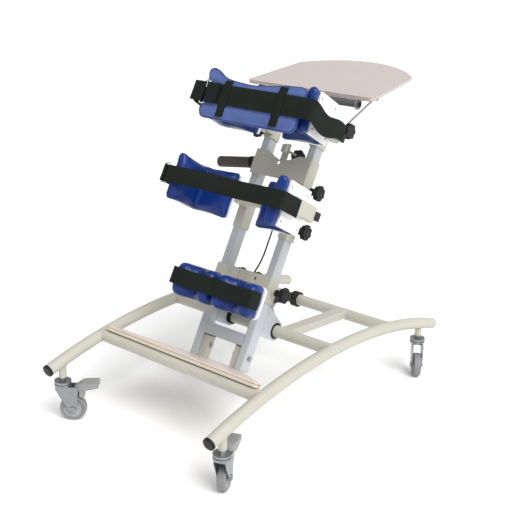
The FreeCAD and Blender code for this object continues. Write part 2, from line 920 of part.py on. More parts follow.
# Footboard, seated over the front cross tube
front_tube = to_mast_point(V(0, front_cross_y, bow_z(front_cross_y)))
foot_low = front_tube.z + tube_r + seat_gap
foot_top = foot_low + foot_thick
foot_front_reach = foot_over_tube - front_tube.y
rail_low = foot_top + seat_gap
leg_top = foot_top + leg_high
bolt_along = foot_top + bolt_above_foot
crossbar_low = leg_top + leg_plug_cap
crossbar_high = crossbar_low + crossbar_tall
rail_outer = rail_inner + rail_width
leg_inner = rail_inner - leg_side
leg_back_y = leg_front_y + leg_side


def make_footboard():
    back = foot_back_half
    front = foot_front_half
    points = [
        V(-front, -foot_front_reach, foot_low),
        V(front, -foot_front_reach, foot_low),
        V(front, -foot_front_reach + foot_band, foot_low),
        V(back, 0, foot_low),
        V(back, foot_back_reach, foot_low),
        V(-back, foot_back_reach, foot_low),
        V(-back, 0, foot_low),
        V(-front, -foot_front_reach + foot_band, foot_low),
    ]
    radii = [foot_front_corner, foot_front_corner, foot_front_corner / 2, foot_mid_corner,
             foot_back_corner, foot_back_corner, foot_mid_corner, foot_front_corner / 2]
    return prism(points, radii, V(0, 0, foot_thick))


def bolt_hole(x0, x1):
    y = leg_front_y + leg_side / 2
    return cyl_x(x0, x1, y, bolt_along, bolt_r + weld_gap)


def make_legs():
    leg = rect_bar_z(leg_inner, rail_inner, leg_front_y, leg_back_y, foot_top, leg_top,
                     leg_corner)
    hollow = rect_bar_z(
        leg_inner + box_wall, rail_inner - box_wall, leg_front_y + box_wall,
        leg_back_y - box_wall, foot_top - cut_over, leg_top + cut_over, leg_corner / 2)
    leg = leg.cut(hollow).cut(bolt_hole(leg_inner - cut_over, rail_inner + cut_over))
    return [to_world(leg), to_world(flip(leg))]


def make_leg_plugs():
    cap = rect_bar_z(leg_inner, rail_inner, leg_front_y, leg_back_y, leg_top + weld_gap,
                     leg_top + leg_plug_cap, leg_corner)
    insert_in = box_wall + plug_gap
    insert = rect_bar_z(
        leg_inner + insert_in, rail_inner - insert_in, leg_front_y + insert_in,
        leg_back_y - insert_in, leg_top - leg_plug_insert, leg_top + weld_gap,
        leg_corner / 2)
    plug = cap.fuse(insert)
    return [to_world(plug), to_world(flip(plug))]


def make_bolt(x0, x1):
    """Bolt along X from a head at x1 to a nut at x0."""
    y = leg_front_y + leg_side / 2
    shank = cyl_x(x0 - bolt_head, x1, y, bolt_along, bolt_r)
    head = cyl_x(x1 + weld_gap, x1 + bolt_head, y, bolt_along, bolt_head_r)
    nut = cyl_x(x0 - bolt_head, x0 - weld_gap, y, bolt_along, bolt_head_r)
    shank = shank.fuse(cyl_x(x1, x1 + bolt_head, y, bolt_along, bolt_r))
    return shank.fuse(head).fuse(nut)


def make_spring_pin():
    pin = cyl_x(-rail_inner - box_wall - cut_over, -spring_pin_end, spring_top_y,
                spring_top_along, spring_pin_r)
    collar_end = spring_x - rod_head_r - seat_gap
    collar = cyl_x(-rail_inner + weld_gap, collar_end, spring_top_y, spring_top_along,
                   spring_washer_r)
    washer_start = spring_x + rod_head_r + seat_gap
    washer = cyl_x(washer_start, washer_start + spring_washer, spring_top_y,
                   spring_top_along, spring_washer_r)
    return pin.fuse(collar).fuse(washer)


save("footboard", to_world(make_footboard()))
save("footboard_legs", make_legs())
save("leg_plugs", make_leg_plugs())
left_bolt = make_bolt(-rail_outer, -leg_inner)
right_bolt = make_bolt(leg_inner, rail_outer)
save("mast_bolts", [to_world(left_bolt), to_world(right_bolt), to_world(make_spring_pin())])


# Mast rails with their pivot bracket plates
def make_mast_rail(is_right):
    rail = rect_bar_z(rail_inner, rail_outer, 0, rail_depth, rail_low, rail_top + hinge_tube_r,
                      rail_corner)
    for x in (rail_inner, rail_outer - bracket_plate):
        near = (rail_depth - box_wall / 2, bracket_top)
        far = (rail_depth - box_wall / 2, bracket_low)
        wire = tangent_outline(x, near, far, pivot_depth, pivot_along, bracket_eye_r)
        rail = rail.fuse(Part.Face(wire).extrude(V(bracket_plate, 0, 0)))
    if is_right:
        boss_end = strut_x - eye_block_half - seat_gap
        boss = cyl_x(rail_outer - box_wall, boss_end, strut_eye_depth, strut_eye_along,
                     eye_boss_r)
        rail = rail.fuse(boss)
    rail = rail.cut(cyl_x(
        rail_inner - cut_over, rail_outer + cut_over, pivot_depth, pivot_along,
        bearing_r + weld_gap))
    hollow = rect_bar_z(
        rail_inner + box_wall, rail_outer - box_wall, box_wall, rail_depth - box_wall,
        rail_low - cut_over, rail_top + hinge_tube_r + cut_over, rail_corner / 2)
    rail = rail.cut(hollow)
    hinge_cut = cyl_x(
        rail_inner - cut_over, rail_outer + cut_over, hinge_y, hinge_along,
        hinge_tube_r + weld_gap)
    rail = rail.cut(hinge_cut)
    above = box(rail_inner - cut_over, rail_outer + cut_over, -cut_over,
                rail_depth + cut_over, hinge_along, hinge_along + hinge_tube_r * 3)
    rail = rail.cut(above)
    rail = rail.cut(bolt_hole(rail_inner - cut_over, rail_outer + cut_over))
    if is_right:
        bore = cyl_x(
            boss_end - eye_pin_long - cut_over, boss_end + cut_over, strut_eye_depth,
            strut_eye_along, eye_pin_r + run_gap)
        rail = rail.cut(bore)
        return rail
    hole = cyl_x(
        rail_inner - cut_over, rail_inner + box_wall * 2, spring_top_y, spring_top_along,
        spring_pin_r + weld_gap)
    return flip(rail.cut(hole))


def make_crossbar():
    back_y = crossbar_front_y + crossbar_depth
    half = rail_inner - weld_gap
    outer = rect_bar_x(-half, half, crossbar_front_y, back_y, crossbar_low, crossbar_high,
                       rail_corner)
    inner = rect_bar_x(
        -half - cut_over, half + cut_over, crossbar_front_y + box_wall, back_y - box_wall,
        crossbar_low + box_wall, crossbar_high - box_wall, rail_corner / 2)
    return outer.cut(inner)


def make_bearing():
    shell = cyl_x(bearing_inner_x, bearing_outer_x, pivot_depth, pivot_along, bearing_r)
    return shell.cut(cyl_x(
        bearing_inner_x - cut_over, bearing_outer_x + cut_over, pivot_depth, pivot_along,
        tube_r + run_gap))


def make_hinge_tube():
    half = hinge_tube_half
    tube = cyl_x(-half, half, hinge_y, hinge_along, hinge_tube_r)
    return tube.cut(cyl_x(
        -half - cut_over, half + cut_over, hinge_y, hinge_along, hinge_tube_r - tube_wall))


save("mast_rail_right", to_world(make_mast_rail(True)))
save("mast_rail_left", to_world(make_mast_rail(False)))
save("mast_crossbar", to_world(make_crossbar()))
bearing = make_bearing()
save("pivot_bearings", [to_world(bearing), to_world(flip(bearing))])
save("tray_hinge_tube", to_world(make_hinge_tube()))

# Sleeves of the sliding carriages
sleeve_in = rail_inner - slide_gap - sleeve_wall
sleeve_out = rail_outer + slide_gap + sleeve_wall
sleeve_front = -slide_gap - sleeve_wall
sleeve_back = rail_depth + slide_gap + sleeve_wall


def make_sleeve(low, high):
    outer = rect_bar_z(sleeve_in, sleeve_out, sleeve_front, sleeve_back, low, high,
                       sleeve_corner)
    inner = rect_bar_z(
        rail_inner - slide_gap, rail_outer + slide_gap, -slide_gap, rail_depth + slide_gap,
        low - cut_over, high + cut_over, rail_corner - slide_gap)
    return outer.cut(inner)


clamp_y = rail_depth / 2
clamp_end = sleeve_out + clamp_boss


def add_clamp_boss(carriage, along, side):
    """Boss on the sleeve's outer face with a bore for the clamp stud."""
    start = rail_outer + slide_gap
    boss = cyl_x(side * (sleeve_out - sleeve_wall / 2), side * clamp_end, clamp_y, along,
                 clamp_boss_r)
    bore = cyl_x(side * start - side * cut_over, side * (clamp_end + cut_over), clamp_y,
                 along, stud_r + run_gap)
    keep = rect_bar_z(
        rail_inner - slide_gap, rail_outer + slide_gap, -slide_gap, rail_depth + slide_gap,
        along - clamp_boss_r * 2, along + clamp_boss_r * 2, rail_corner - slide_gap)
    if side < 0:
        keep = flip(keep)
    return carriage.fuse(boss).cut(keep).cut(bore)


def make_knob(boss_long, stud_long):
    """Star knob along +Z: boss from 0, lobed head above, stud below."""
    head = cyl_z(0, 0, boss_long, boss_long + knob_high, knob_r)
    for i in range(knob_lobes):
        a = i * math.tau / knob_lobes
        x = knob_scallop_out * math.cos(a)
        y = knob_scallop_out * math.sin(a)
        head = head.cut(cyl_z(x, y, boss_long - cut_over, boss_long + knob_high + cut_over,
                              knob_scallop_r))
    knob = head.fuse(cyl_z(0, 0, 0, boss_long, knob_boss_r))
    if stud_long > 0:
        knob = knob.fuse(cyl_z(0, 0, -stud_long, 0, stud_r))
    return knob


def knob_to_x(knob, x, y, z, side):
    """Turn a knob's +Z onto the side's X direction and set it at a point."""
    angle = math.degrees(math.pi / 2) * side
    copy = turned(knob, V(0, 0, 0), V(0, 1, 0), angle)
    copy.translate(V(x, y, z))
    return copy


def knob_to_y(knob, x, y, z):
    copy = turned(knob, V(0, 0, 0), V(1, 0, 0), -math.degrees(math.pi / 2))
    copy.translate(V(x, y, z))
    return copy


clamp_knob = make_knob(clamp_stud, clamp_boss + sleeve_wall - weld_gap)
clamp_knob_x = clamp_end + seat_gap


def save_clamp_knob(name, along, side):
    knob = knob_to_x(clamp_knob, side * clamp_knob_x, clamp_y, along, side)
    save(name, to_world(knob))


# Knee unit
plate_front = sleeve_front - plate_thick


def make_knee_carriage():
    left = flip(make_sleeve(knee_low, knee_high))
    right = make_sleeve(knee_low, knee_high)
    plate = box(-sleeve_out, sleeve_out, plate_front, sleeve_front, knee_plate_low, knee_high)
    carriage = left.fuse(right).fuse(plate)
    inward = slot_x - slot_in_travel - stud_r
    outward = slot_x + slot_out_travel + stud_r + slot_play
    slot = box(inward, outward, plate_front - cut_over, sleeve_front + cut_over,
               slot_along - stud_r - slot_play, slot_along + stud_r + slot_play)
    carriage = carriage.cut(slot).cut(flip(slot))
    return add_clamp_boss(carriage, knee_knob_along, 1)


def make_knee_bracket():
    """Bent bracket from the slotted plate to the white backing board, with its stud."""
    x0 = slot_x - bracket_wide / 2
    foot_back = plate_front - slide_gap
    board_back = -knee_pad_back + knee_board
    t = bracket_metal
    foot = box(x0, x0 + bracket_wide, foot_back - t, foot_back, bracket_foot_low - t,
               bracket_foot_high)
    web = box(x0, x0 + bracket_wide, board_back, foot_back, bracket_foot_low - t,
              bracket_foot_low)
    flange = box(x0, x0 + bracket_wide, board_back, board_back + t,
                 bracket_foot_low - bracket_flange, bracket_foot_low)
    stud = cyl_y(slot_x, foot_back - t, stud_end_y, slot_along, stud_r)
    bracket = foot.fuse(web).fuse(flange).fuse(stud)
    inset = knee_board_inset
    back_y = -knee_pad_back
    board = rect_bar_y(
        knee_pad_inner + inset, knee_pad_outer - inset, back_y, board_back - weld_gap,
        knee_pad_low + inset, knee_pad_high - inset, knee_board_corner)
    return [bracket, board]


def knee_section(inset, z):
    """Plan outline of a knee pad with its vertical channel, drawn in by the inset."""
    x0 = knee_pad_inner + inset
    x1 = knee_pad_outer - inset
    wide = x1 - x0
    back = -knee_pad_back - seat_gap
    front = -knee_pad_front + inset
    valley = -knee_pad_valley
    deep = front - back
    side_y = back + deep * knee_pad_side_share
    shoulder_y = back + deep * knee_shoulder_depth_share
    hump = wide * knee_hump_share
    shoulder = wide * knee_shoulder_share
    a = V(x0, back, z)
    b = V(x0, side_y, z)
    c = V(x0 + hump, front, z)
    d = V(x0 + shoulder, shoulder_y, z)
    e = V((x0 + x1) / 2, valley, z)
    f = V(x1 - shoulder, shoulder_y, z)
    g = V(x1 - hump, front, z)
    h = V(x1, side_y, z)
    i = V(x1, back, z)
    edges = [
        Part.makeLine(a, b),
        Part.Arc(b, c, d).toShape(),
        Part.Arc(d, e, f).toShape(),
        Part.Arc(f, g, h).toShape(),
        Part.makeLine(h, i),
        Part.makeLine(i, a),
    ]
    return Part.Wire(edges)


def pad_levels(low, high):
    """Heights and insets that round a pad's two ends and crown its middle."""
    r = pad_edge_round
    m = pad_mid_round
    return [
        (low, r),
        (low + r / 4, r / 2),
        (low + r, m / 2),
        ((low + high) / 2, 0),
        (high - r, m / 2),
        (high - r / 4, r / 2),
        (high, r),
    ]


def make_knee_cushion():
    wires = [knee_section(inset, z) for z, inset in pad_levels(knee_pad_low, knee_pad_high)]
    return Part.makeLoft(wires, True, True)


knee_knob_face = sleeve_front + knee_rear_knob_y
stud_end_y = knee_knob_face + rear_knob_stem + knob_floor


def make_knee_knob():
    """Width knob behind the slotted plate, threaded on the bracket's stud."""
    knob = make_knob(rear_knob_stem, 0)
    spacer_low = sleeve_front + seat_gap - knee_knob_face
    bore = cyl_z(0, 0, spacer_low - cut_over, rear_knob_stem + knob_floor + seat_gap,
                 stud_r + run_gap)
    spacer = cyl_z(0, 0, spacer_low, 0, knob_boss_r)
    return knob_to_y(knob.fuse(spacer).cut(bore), slot_x, knee_knob_face, slot_along)


def strap_along(points, low, high, radii):
    """Flat strap along an open path in plan, its faces set off by the thickness."""
    count = len(points)
    offset = []
    for i in range(count):
        before = points[i].sub(points[i - 1]) if i > 0 else None
        after = points[i + 1].sub(points[i]) if i < count - 1 else None
        if before is not None:
            before.normalize()
        if after is not None:
            after.normalize()
        if before is None:
            before = after
        if after is None:
            after = before
        n0 = V(before.y, -before.x, 0)
        n1 = V(after.y, -after.x, 0)
        mid = n0.add(n1)
        mid.normalize()
        scale = strap_thick / mid.dot(n0)
        offset.append(points[i].add(mid * scale))
    outline = [V(p.x, p.y, low) for p in points]
    outline += [V(p.x, p.y, low) for p in reversed(offset)]
    inner = [0] + list(radii) + [0]
    outer = [0] + [r + strap_thick if r > 0 else 0 for r in reversed(radii)] + [0]
    return prism(outline, inner + outer, V(0, 0, high - low))


def make_knee_strap():
    side = knee_pad_outer + seat_gap
    front = knee_cushion.BoundBox.YMin - seat_gap
    back = front + strap_wrap
    path = [V(-side, back, 0), V(-side, front, 0), V(side, front, 0), V(side, back, 0)]
    return strap_along(path, knee_strap_low, knee_strap_high, [strap_bend, strap_bend])


save("knee_carriage", to_world(make_knee_carriage()))
knee_bracket = make_knee_bracket()
save("knee_bracket_right", [to_world(s) for s in knee_bracket])
save("knee_bracket_left", [to_world(flip(s)) for s in knee_bracket])
knee_cushion = make_knee_cushion()
save("knee_cushion_right", to_world(knee_cushion))
save("knee_cushion_left", to_world(flip(knee_cushion)))
knee_knob = make_knee_knob()
save("knee_knob_right", to_world(knee_knob))
save("knee_knob_left", to_world(flip(knee_knob)))
save("knee_strap", to_world(make_knee_strap()))
save_clamp_knob("knee_clamp_knob", knee_knob_along, 1)


# Hip and chest carriages: sleeves joined by a square holder tube in front of the mast
def make_support_carriage(low, high, tube_mid, knob_along, side):
    left = flip(make_sleeve(low, high))
    right = make_sleeve(low, high)
    half = arm_tube / 2 + holder_gap + holder_wall
    y0 = -holder_front
    y1 = y0 + half * 2
    holder = rect_bar_x(-sleeve_out, sleeve_out, y0, y1, tube_mid - half, tube_mid + half,
                        leg_corner)
    carriage = left.fuse(right).fuse(holder)
    for x in (-sleeve_out, sleeve_in):
        wide = sleeve_out - sleeve_in
        web = box(x, x + wide, y1 - holder_wall / 2, sleeve_front + sleeve_wall / 2,
                  tube_mid - half + holder_wall, tube_mid + half - holder_wall)
        carriage = carriage.fuse(web)
    hole_half = arm_tube / 2 + holder_gap
    mid_y = (y0 + y1) / 2
    hollow = box(-sleeve_out - cut_over, sleeve_out + cut_over, mid_y - hole_half,
                 mid_y + hole_half, tube_mid - hole_half, tube_mid + hole_half)
    carriage = carriage.cut(hollow)
    return add_clamp_boss(carriage, knob_along, side)


def make_support_arm(low, high, tube_mid, board_outer, leg_back, leg_inner_x, wing_end,
                     arm_reach):
    """Right-hand arm: slider tube and forward box, then the white L-shaped board."""
    half = arm_tube / 2
    mid_y = -holder_front + arm_tube / 2 + holder_gap + holder_wall
    arm_out = board_outer + arm_box_thick
    slider = rect_bar_x(slider_inner, arm_out, mid_y - half, mid_y + half, tube_mid - half,
                        tube_mid + half, leg_corner)
    box_half = arm_box_high / 2
    arm = rect_bar_y(board_outer, arm_out, -arm_reach, mid_y - half + box_wall,
                     tube_mid - box_half, tube_mid + box_half, arm_box_corner)
    frame = slider.fuse(arm)
    frame = frame.cut(rect_bar_x(
        slider_inner - cut_over, board_outer - box_wall, mid_y - half + box_wall,
        mid_y + half - box_wall, tube_mid - half + box_wall, tube_mid + half - box_wall,
        leg_corner / 2))
    plug_start = arm_out + weld_gap
    plug = rect_bar_x(plug_start, plug_start + arm_plug, mid_y - half + arm_plug_gap,
                      mid_y + half - arm_plug_gap, tube_mid - half + arm_plug_gap,
                      tube_mid + half - arm_plug_gap, leg_corner)
    outer = board_outer - weld_gap
    inner = outer - board_thick
    reach = wing_end * board_reach_share
    back = -leg_back
    front = back - board_thick
    points = [
        V(outer, back, low + board_edge),
        V(leg_inner_x + board_edge, back, low + board_edge),
        V(leg_inner_x + board_edge, front, low + board_edge),
        V(inner, front, low + board_edge),
        V(inner, -reach, low + board_edge),
        V(outer, -reach, low + board_edge),
    ]
    radii = [pad_back_corner, 0, 0, pad_back_corner - board_thick, 0, 0]
    board = prism(points, radii, V(0, 0, high - low - board_edge * 2))
    board = board.cut(frame)
    return [frame, plug, board]


def pad_section(inset, z, outer, back, leg_inner_x, wing_end):
    """Plan outline of an L-shaped pad, drawn in by the inset."""
    inner = outer - pad_thick
    front = back - pad_thick
    points = [
        V(outer - inset, back - inset, z),
        V(leg_inner_x + inset, back - inset, z),
        V(leg_inner_x + inset, front + inset, z),
        V(inner + inset, front + inset, z),
        V(inner + inset, -wing_end + inset, z),
        V(outer - inset, -wing_end + inset, z),
    ]
    nose = (pad_thick - inset * 2) * pad_nose_share
    radii = [pad_back_corner - board_thick, nose, nose, pad_crease, nose, nose]
    return corner_wire(points, radii)


def pad_end_levels(low, high):
    r = pad_edge_round * 3 / 4
    return [
        (low, r),
        (low + r / 3, r / 2.5),
        (low + r * 1.4, r / 8),
        ((low + high) / 2, 0),
        (high - r * 1.4, r / 8),
        (high - r / 3, r / 2.5),
        (high, r),
    ]


def make_l_cushion(low, high, board_outer, leg_back, leg_inner_x, wing_end):
    outer = board_outer - board_thick - seat_gap
    back = -leg_back - board_thick - seat_gap
    wires = []
    for z, inset in pad_end_levels(low, high):
        wires.append(pad_section(inset, z, outer, back, leg_inner_x, wing_end))
    return Part.makeLoft(wires, True, True)


hip_holder = make_support_carriage(hip_low, hip_high, hip_tube_mid, hip_knob_along, 1)
save("hip_carriage", to_world(hip_holder))
save_clamp_knob("hip_clamp_knob", hip_knob_along, 1)
hip_arm = make_support_arm(hip_pad_low, hip_pad_high, hip_tube_mid, hip_board_outer,
                           hip_leg_back, hip_leg_inner, hip_wing_end, hip_arm_reach)
save("hip_arm_right", [to_world(s) for s in hip_arm])
save("hip_arm_left", [to_world(flip(s)) for s in hip_arm])
hip_cushion = make_l_cushion(hip_pad_low, hip_pad_high, hip_board_outer, hip_leg_back,
                             hip_leg_inner, hip_wing_end)
save("hip_cushion_right", to_world(hip_cushion))
save("hip_cushion_left", to_world(flip(hip_cushion)))

chest_holder = make_support_carriage(chest_low, chest_high, chest_tube_mid,
                                     chest_knob_along, -1)
save("chest_carriage", to_world(chest_holder))
save_clamp_knob("chest_clamp_knob", chest_knob_along, -1)
chest_arm = make_support_arm(chest_pad_low, chest_pad_high, chest_tube_mid,
                             chest_board_outer, chest_leg_back, chest_leg_inner,
                             chest_wing_end, chest_arm_reach)
save("chest_arm_right", [to_world(s) for s in chest_arm])
save("chest_arm_left", [to_world(flip(s)) for s in chest_arm])
chest_cushion = make_l_cushion(chest_pad_low, chest_pad_high, chest_board_outer,
                               chest_leg_back, chest_leg_inner, chest_wing_end)
save("chest_cushion_right", to_world(chest_cushion))
save("chest_cushion_left", to_world(flip(chest_cushion)))


# Straps, wire rings and the chest belt
def make_ring(x0, x1, y, low, high):
    """Upright rectangular ring of round wire in the XZ plane."""
    r = ring_wire_r
    z0 = low - r * 2
    z1 = high + r * 2
    frame = cyl_z(x0, y, z0, z1, r).fuse(cyl_z(x1, y, z0, z1, r))
    frame = frame.fuse(cyl_x(x0, x1, y, z0, r)).fuse(cyl_x(x0, x1, y, z1, r))
    for x_end in (x0, x1):
        for z_end in (z0, z1):
            frame = frame.fuse(Part.makeSphere(r, V(x_end, y, z_end)))
    return frame


def make_hip_strap():
    out = hip_board_outer + arm_box_thick + seat_gap
    front = -hip_strap_front
    back = -hip_arm_reach + strap_wrap
    left_bar = -out + seat_gap + ring_wire_r
    right_bar = left_bar + ring_wide
    start = V(right_bar - ring_wire_r * 2, front, 0)
    strap = strap_along([start, V(out, front, 0), V(out, back, 0)], hip_strap_low,
                        hip_strap_high, [strap_bend])
    tail = strap_along([V(-out, back, 0), V(-out, front, 0)], hip_strap_low,
                       hip_strap_high, [])
    ring = make_ring(left_bar, right_bar, front + seat_gap + ring_wire_r, hip_strap_low,
                     hip_strap_high)
    return [strap, ring, tail]


save("hip_strap", [to_world(s) for s in make_hip_strap()])

belt_back = -chest_wing_end - seat_gap
belt_front = belt_back - belt_thick


def make_belt():
    half = belt_half
    points = [V(-half, belt_back, belt_low), V(half, belt_back, belt_low),
              V(half, belt_back, belt_high), V(-half, belt_back, belt_high)]
    slab = prism(points, [belt_corner] * 4, V(0, -belt_thick, 0))
    rim = [e for e in slab.Edges if abs(e.CenterOfMass.y - belt_front) < belt_round / 2]
    return slab.makeFillet(belt_round, rim)


def make_chest_strap():
    front = belt_front - seat_gap
    out = chest_board_outer + arm_box_thick + arm_plug + seat_gap
    under = ring_wire_r * 2
    right_bar = -chest_ring_x
    left_bar = right_bar - ring_wide
    strap = strap_along(
        [V(right_bar - under, front, 0), V(out, front, 0), V(out, -chest_strap_back, 0)],
        chest_strap_low, chest_strap_high, [strap_bend * 2])
    ring = make_ring(left_bar, right_bar, front - strap_thick - seat_gap - ring_wire_r,
                     chest_strap_low, chest_strap_high)
    tail = strap_along(
        [V(-out, -chest_arm_reach + strap_wrap, 0), V(-out, front, 0),
         V(left_bar + under, front, 0)],
        chest_strap_low, chest_strap_high, [strap_bend * 2])
    return [strap, ring, tail]


save("chest_belt", to_world(make_belt()))
save("chest_strap", [to_world(s) for s in make_chest_strap()])


# Handle bracket with its notched plate
def make_handle_bracket():
    right = make_sleeve(handle_low, handle_high)
    left = flip(make_sleeve(handle_left_low, handle_high))
    top = handle_high
    points = [
        V(-sleeve_out, sleeve_front, handle_plate_low),
        V(sleeve_out, sleeve_front, handle_plate_low),
        V(sleeve_out, sleeve_front, top),
        V(notch_half + peak_half, sleeve_front, top),
        V(notch_half, sleeve_front, top - notch_peak),
        V(0, sleeve_front, top - notch_deep),
        V(-notch_half, sleeve_front, top - notch_peak),
        V(-notch_half - peak_half, sleeve_front, top),
        V(-sleeve_out, sleeve_front, top),
    ]
    plate = prism(points, [0] * len(points), V(0, -plate_thick, 0))
    bracket = right.fuse(left).fuse(plate)
    tongue = box(-tongue_half, tongue_half, sleeve_front, sleeve_front + plate_thick,
                 tongue_low, tongue_high)
    bracket = bracket.fuse(tongue)
    clevis = box(-clevis_half, clevis_half, sleeve_front - clevis_deep, sleeve_front,
                 rear_stud_along - clevis_high / 2, rear_stud_along + clevis_high / 2)
    bracket = bracket.fuse(clevis)
    bracket = bracket.cut(cyl_y(sight_hole_x, plate_front - cut_over, sleeve_front + cut_over
                                + plate_thick, sight_hole_along, sight_hole_r))
    bracket = bracket.cut(cyl_y(0, sleeve_front - clevis_deep / 2,
                                sleeve_front + plate_thick + cut_over, rear_stud_along,
                                stud_r + run_gap))
    guide = box(-cable_guide_half, cable_guide_half, sleeve_front,
                cable_y + cable_guide_half, cable_top_along - cable_guide_high,
                cable_top_along)
    guide_web = box(-cable_guide_half, cable_guide_half, sleeve_front,
                    sleeve_front + plate_thick, cable_top_along - cable_guide_high,
                    tongue_low + plate_thick)
    bracket = bracket.fuse(guide).fuse(guide_web)
    bracket = bracket.cut(cyl_z(0, cable_y, cable_top_along - cable_guide_high - cut_over,
                                cable_top_along + cut_over, cable_r + run_gap))
    ear_front = lever_y - lever_boss_deep / 2 - lever_ear - spring_side_gap
    for y in (ear_front, lever_y + lever_boss_deep / 2 + spring_side_gap):
        ear = box(-sleeve_out + sleeve_wall / 2, -lever_root_x - lever_boss_r, y,
                  y + lever_ear, lever_along - lever_boss_r, lever_along + lever_boss_r)
        bracket = bracket.fuse(ear)
    rear_ear = lever_y + lever_boss_deep / 2 + spring_side_gap
    link = box(-sleeve_out + sleeve_wall / 2, -sleeve_out - sleeve_wall / 2,
               sleeve_back - sleeve_wall, rear_ear + lever_ear,
               lever_along - lever_boss_r, lever_along + lever_boss_r)
    bracket = bracket.fuse(link)
    pin = cyl_y(-lever_root_x, ear_front, rear_ear + lever_ear, lever_along, lever_pin_r)
    bracket = bracket.fuse(pin)
    return add_clamp_boss(bracket, handle_knob_along, 1)


def make_lever():
    """Release lever about a pin on the bracket, with its foam grip."""
    y0 = lever_y - lever_boss_deep / 2
    y1 = lever_y + lever_boss_deep / 2
    boss = cyl_y(-lever_root_x, y0, y1, lever_along, lever_boss_r - seat_gap)
    root = V(-lever_root_x, lever_y, lever_along)
    end = V(-lever_end_x, lever_y, lever_along)
    bar = cyl(root, end, lever_r)
    collar_start = V(-grip_start_x + collar_long, lever_y, lever_along)
    collar_end = V(-grip_start_x, lever_y, lever_along)
    collar = cyl(collar_start, collar_end, collar_r)
    lever = boss.fuse(bar).fuse(collar)
    lever = lever.cut(cyl_y(-lever_root_x, y0 - cut_over, y1 + cut_over, lever_along,
                            lever_pin_r + run_gap))
    grip_end = V(-lever_end_x - grip_end_round, lever_y, lever_along)
    grip_start = V(-grip_start_x - weld_gap, lever_y, lever_along)
    grip = cyl(grip_start, grip_end, grip_r)
    rim = [e for e in grip.Edges if abs(e.CenterOfMass.x - grip_end.x) < grip_end_round / 2]
    grip = grip.makeFillet(grip_end_round, rim)
    grip = grip.cut(cyl(root, V(end.x - weld_gap, end.y, end.z), lever_r + weld_gap))
    pieces = []
    for piece in (lever, grip):
        pieces.append(turned(piece, root, V(0, 1, 0), -lever_droop_angle))
    return pieces


def make_rear_knob():
    stud = rear_knob_y - sleeve_front + clevis_deep / 2 - cut_over
    return knob_to_y(make_knob(rear_knob_stem, stud), 0, rear_knob_y, rear_stud_along)


def make_cable():
    """Sheathed cable from its guide down to the head of the gas spring."""
    top = V(0, cable_y, cable_top_along - seat_gap)
    low = V(0, cable_y, cable_low_along)
    end = V(spring_x, spring_top_y, spring_top_along + rod_eye_r + cable_seat)
    drop = end.sub(low)
    bend = cable_bend_low
    run = V(drop)
    run.normalize()
    down = V(0, 0, -1)
    half = (math.pi - down.getAngle(run)) / 2
    reach = bend / math.tan(half)
    first = low.add(V(0, 0, reach))
    second = low.add(run * reach)
    bisector = V(0, 0, 1).add(run)
    bisector.normalize()
    mid = low.add(bisector * (bend / math.sin(half) - bend))
    path = Part.Wire([
        Part.makeLine(top, first),
        Part.Arc(first, mid, second).toShape(),
        Part.makeLine(second, end),
    ])
    circle = Part.Wire(Part.makeCircle(cable_r, top, V(0, 0, -1)))
    cable = path.makePipeShell([circle], True, False)
    print("cable bend radius", bend, "length", round(path.Length))
    return cable


save("handle_bracket", to_world(make_handle_bracket()))
save_clamp_knob("handle_clamp_knob", handle_knob_along, 1)
save("handle_rear_knob", to_world(make_rear_knob()))
save("release_lever", [to_world(s) for s in make_lever()])
save("release_cable", to_world(make_cable()))

# Tray frame: origin on the hinge axis, U up the tray, W out of its top
hinge_point = mast_point(0, hinge_y, hinge_along)


def from_tray(shape):
    copy = turned(shape, V(0, 0, 0), V(1, 0, 0), tray_tilt_angle)
    copy.translate(hinge_point)
    return copy


tray_low = hinge_tube_r + tray_over_tube


def make_tray_board():
    near = tray_near_u
    z = tray_low + weld_gap
    far = V(tray_far_half, near + tray_far_depth, z)
    bow = V(tray_bow_half, near + tray_bow_depth, z)
    tip = V(0, near + tray_depth, z)
    mid = V(tray_mid_half, near + tray_mid_depth, z)
    c = tray_near_corner
    arc_share = 1 - math.sqrt(0.5)
    low_right = V(tray_near_half - c, near, z)
    side_right = V(tray_near_half, near + c, z)
    arc_right = V(tray_near_half - c * arc_share, near + c * arc_share, z)
    edges = [
        Part.makeLine(V(-low_right.x, near, z), low_right),
        Part.Arc(low_right, arc_right, side_right).toShape(),
        Part.Arc(side_right, mid, far).toShape(),
        Part.Arc(far, bow, tip).toShape(),
        Part.Arc(tip, V(-bow.x, bow.y, z), V(-far.x, far.y, z)).toShape(),
        Part.Arc(V(-far.x, far.y, z), V(-mid.x, mid.y, z),
                 V(-side_right.x, side_right.y, z)).toShape(),
        Part.Arc(V(-side_right.x, side_right.y, z), V(-arc_right.x, arc_right.y, z),
                 V(-low_right.x, near, z)).toShape(),
    ]
    return Part.Face(Part.Wire(edges)).extrude(V(0, 0, tray_thick))


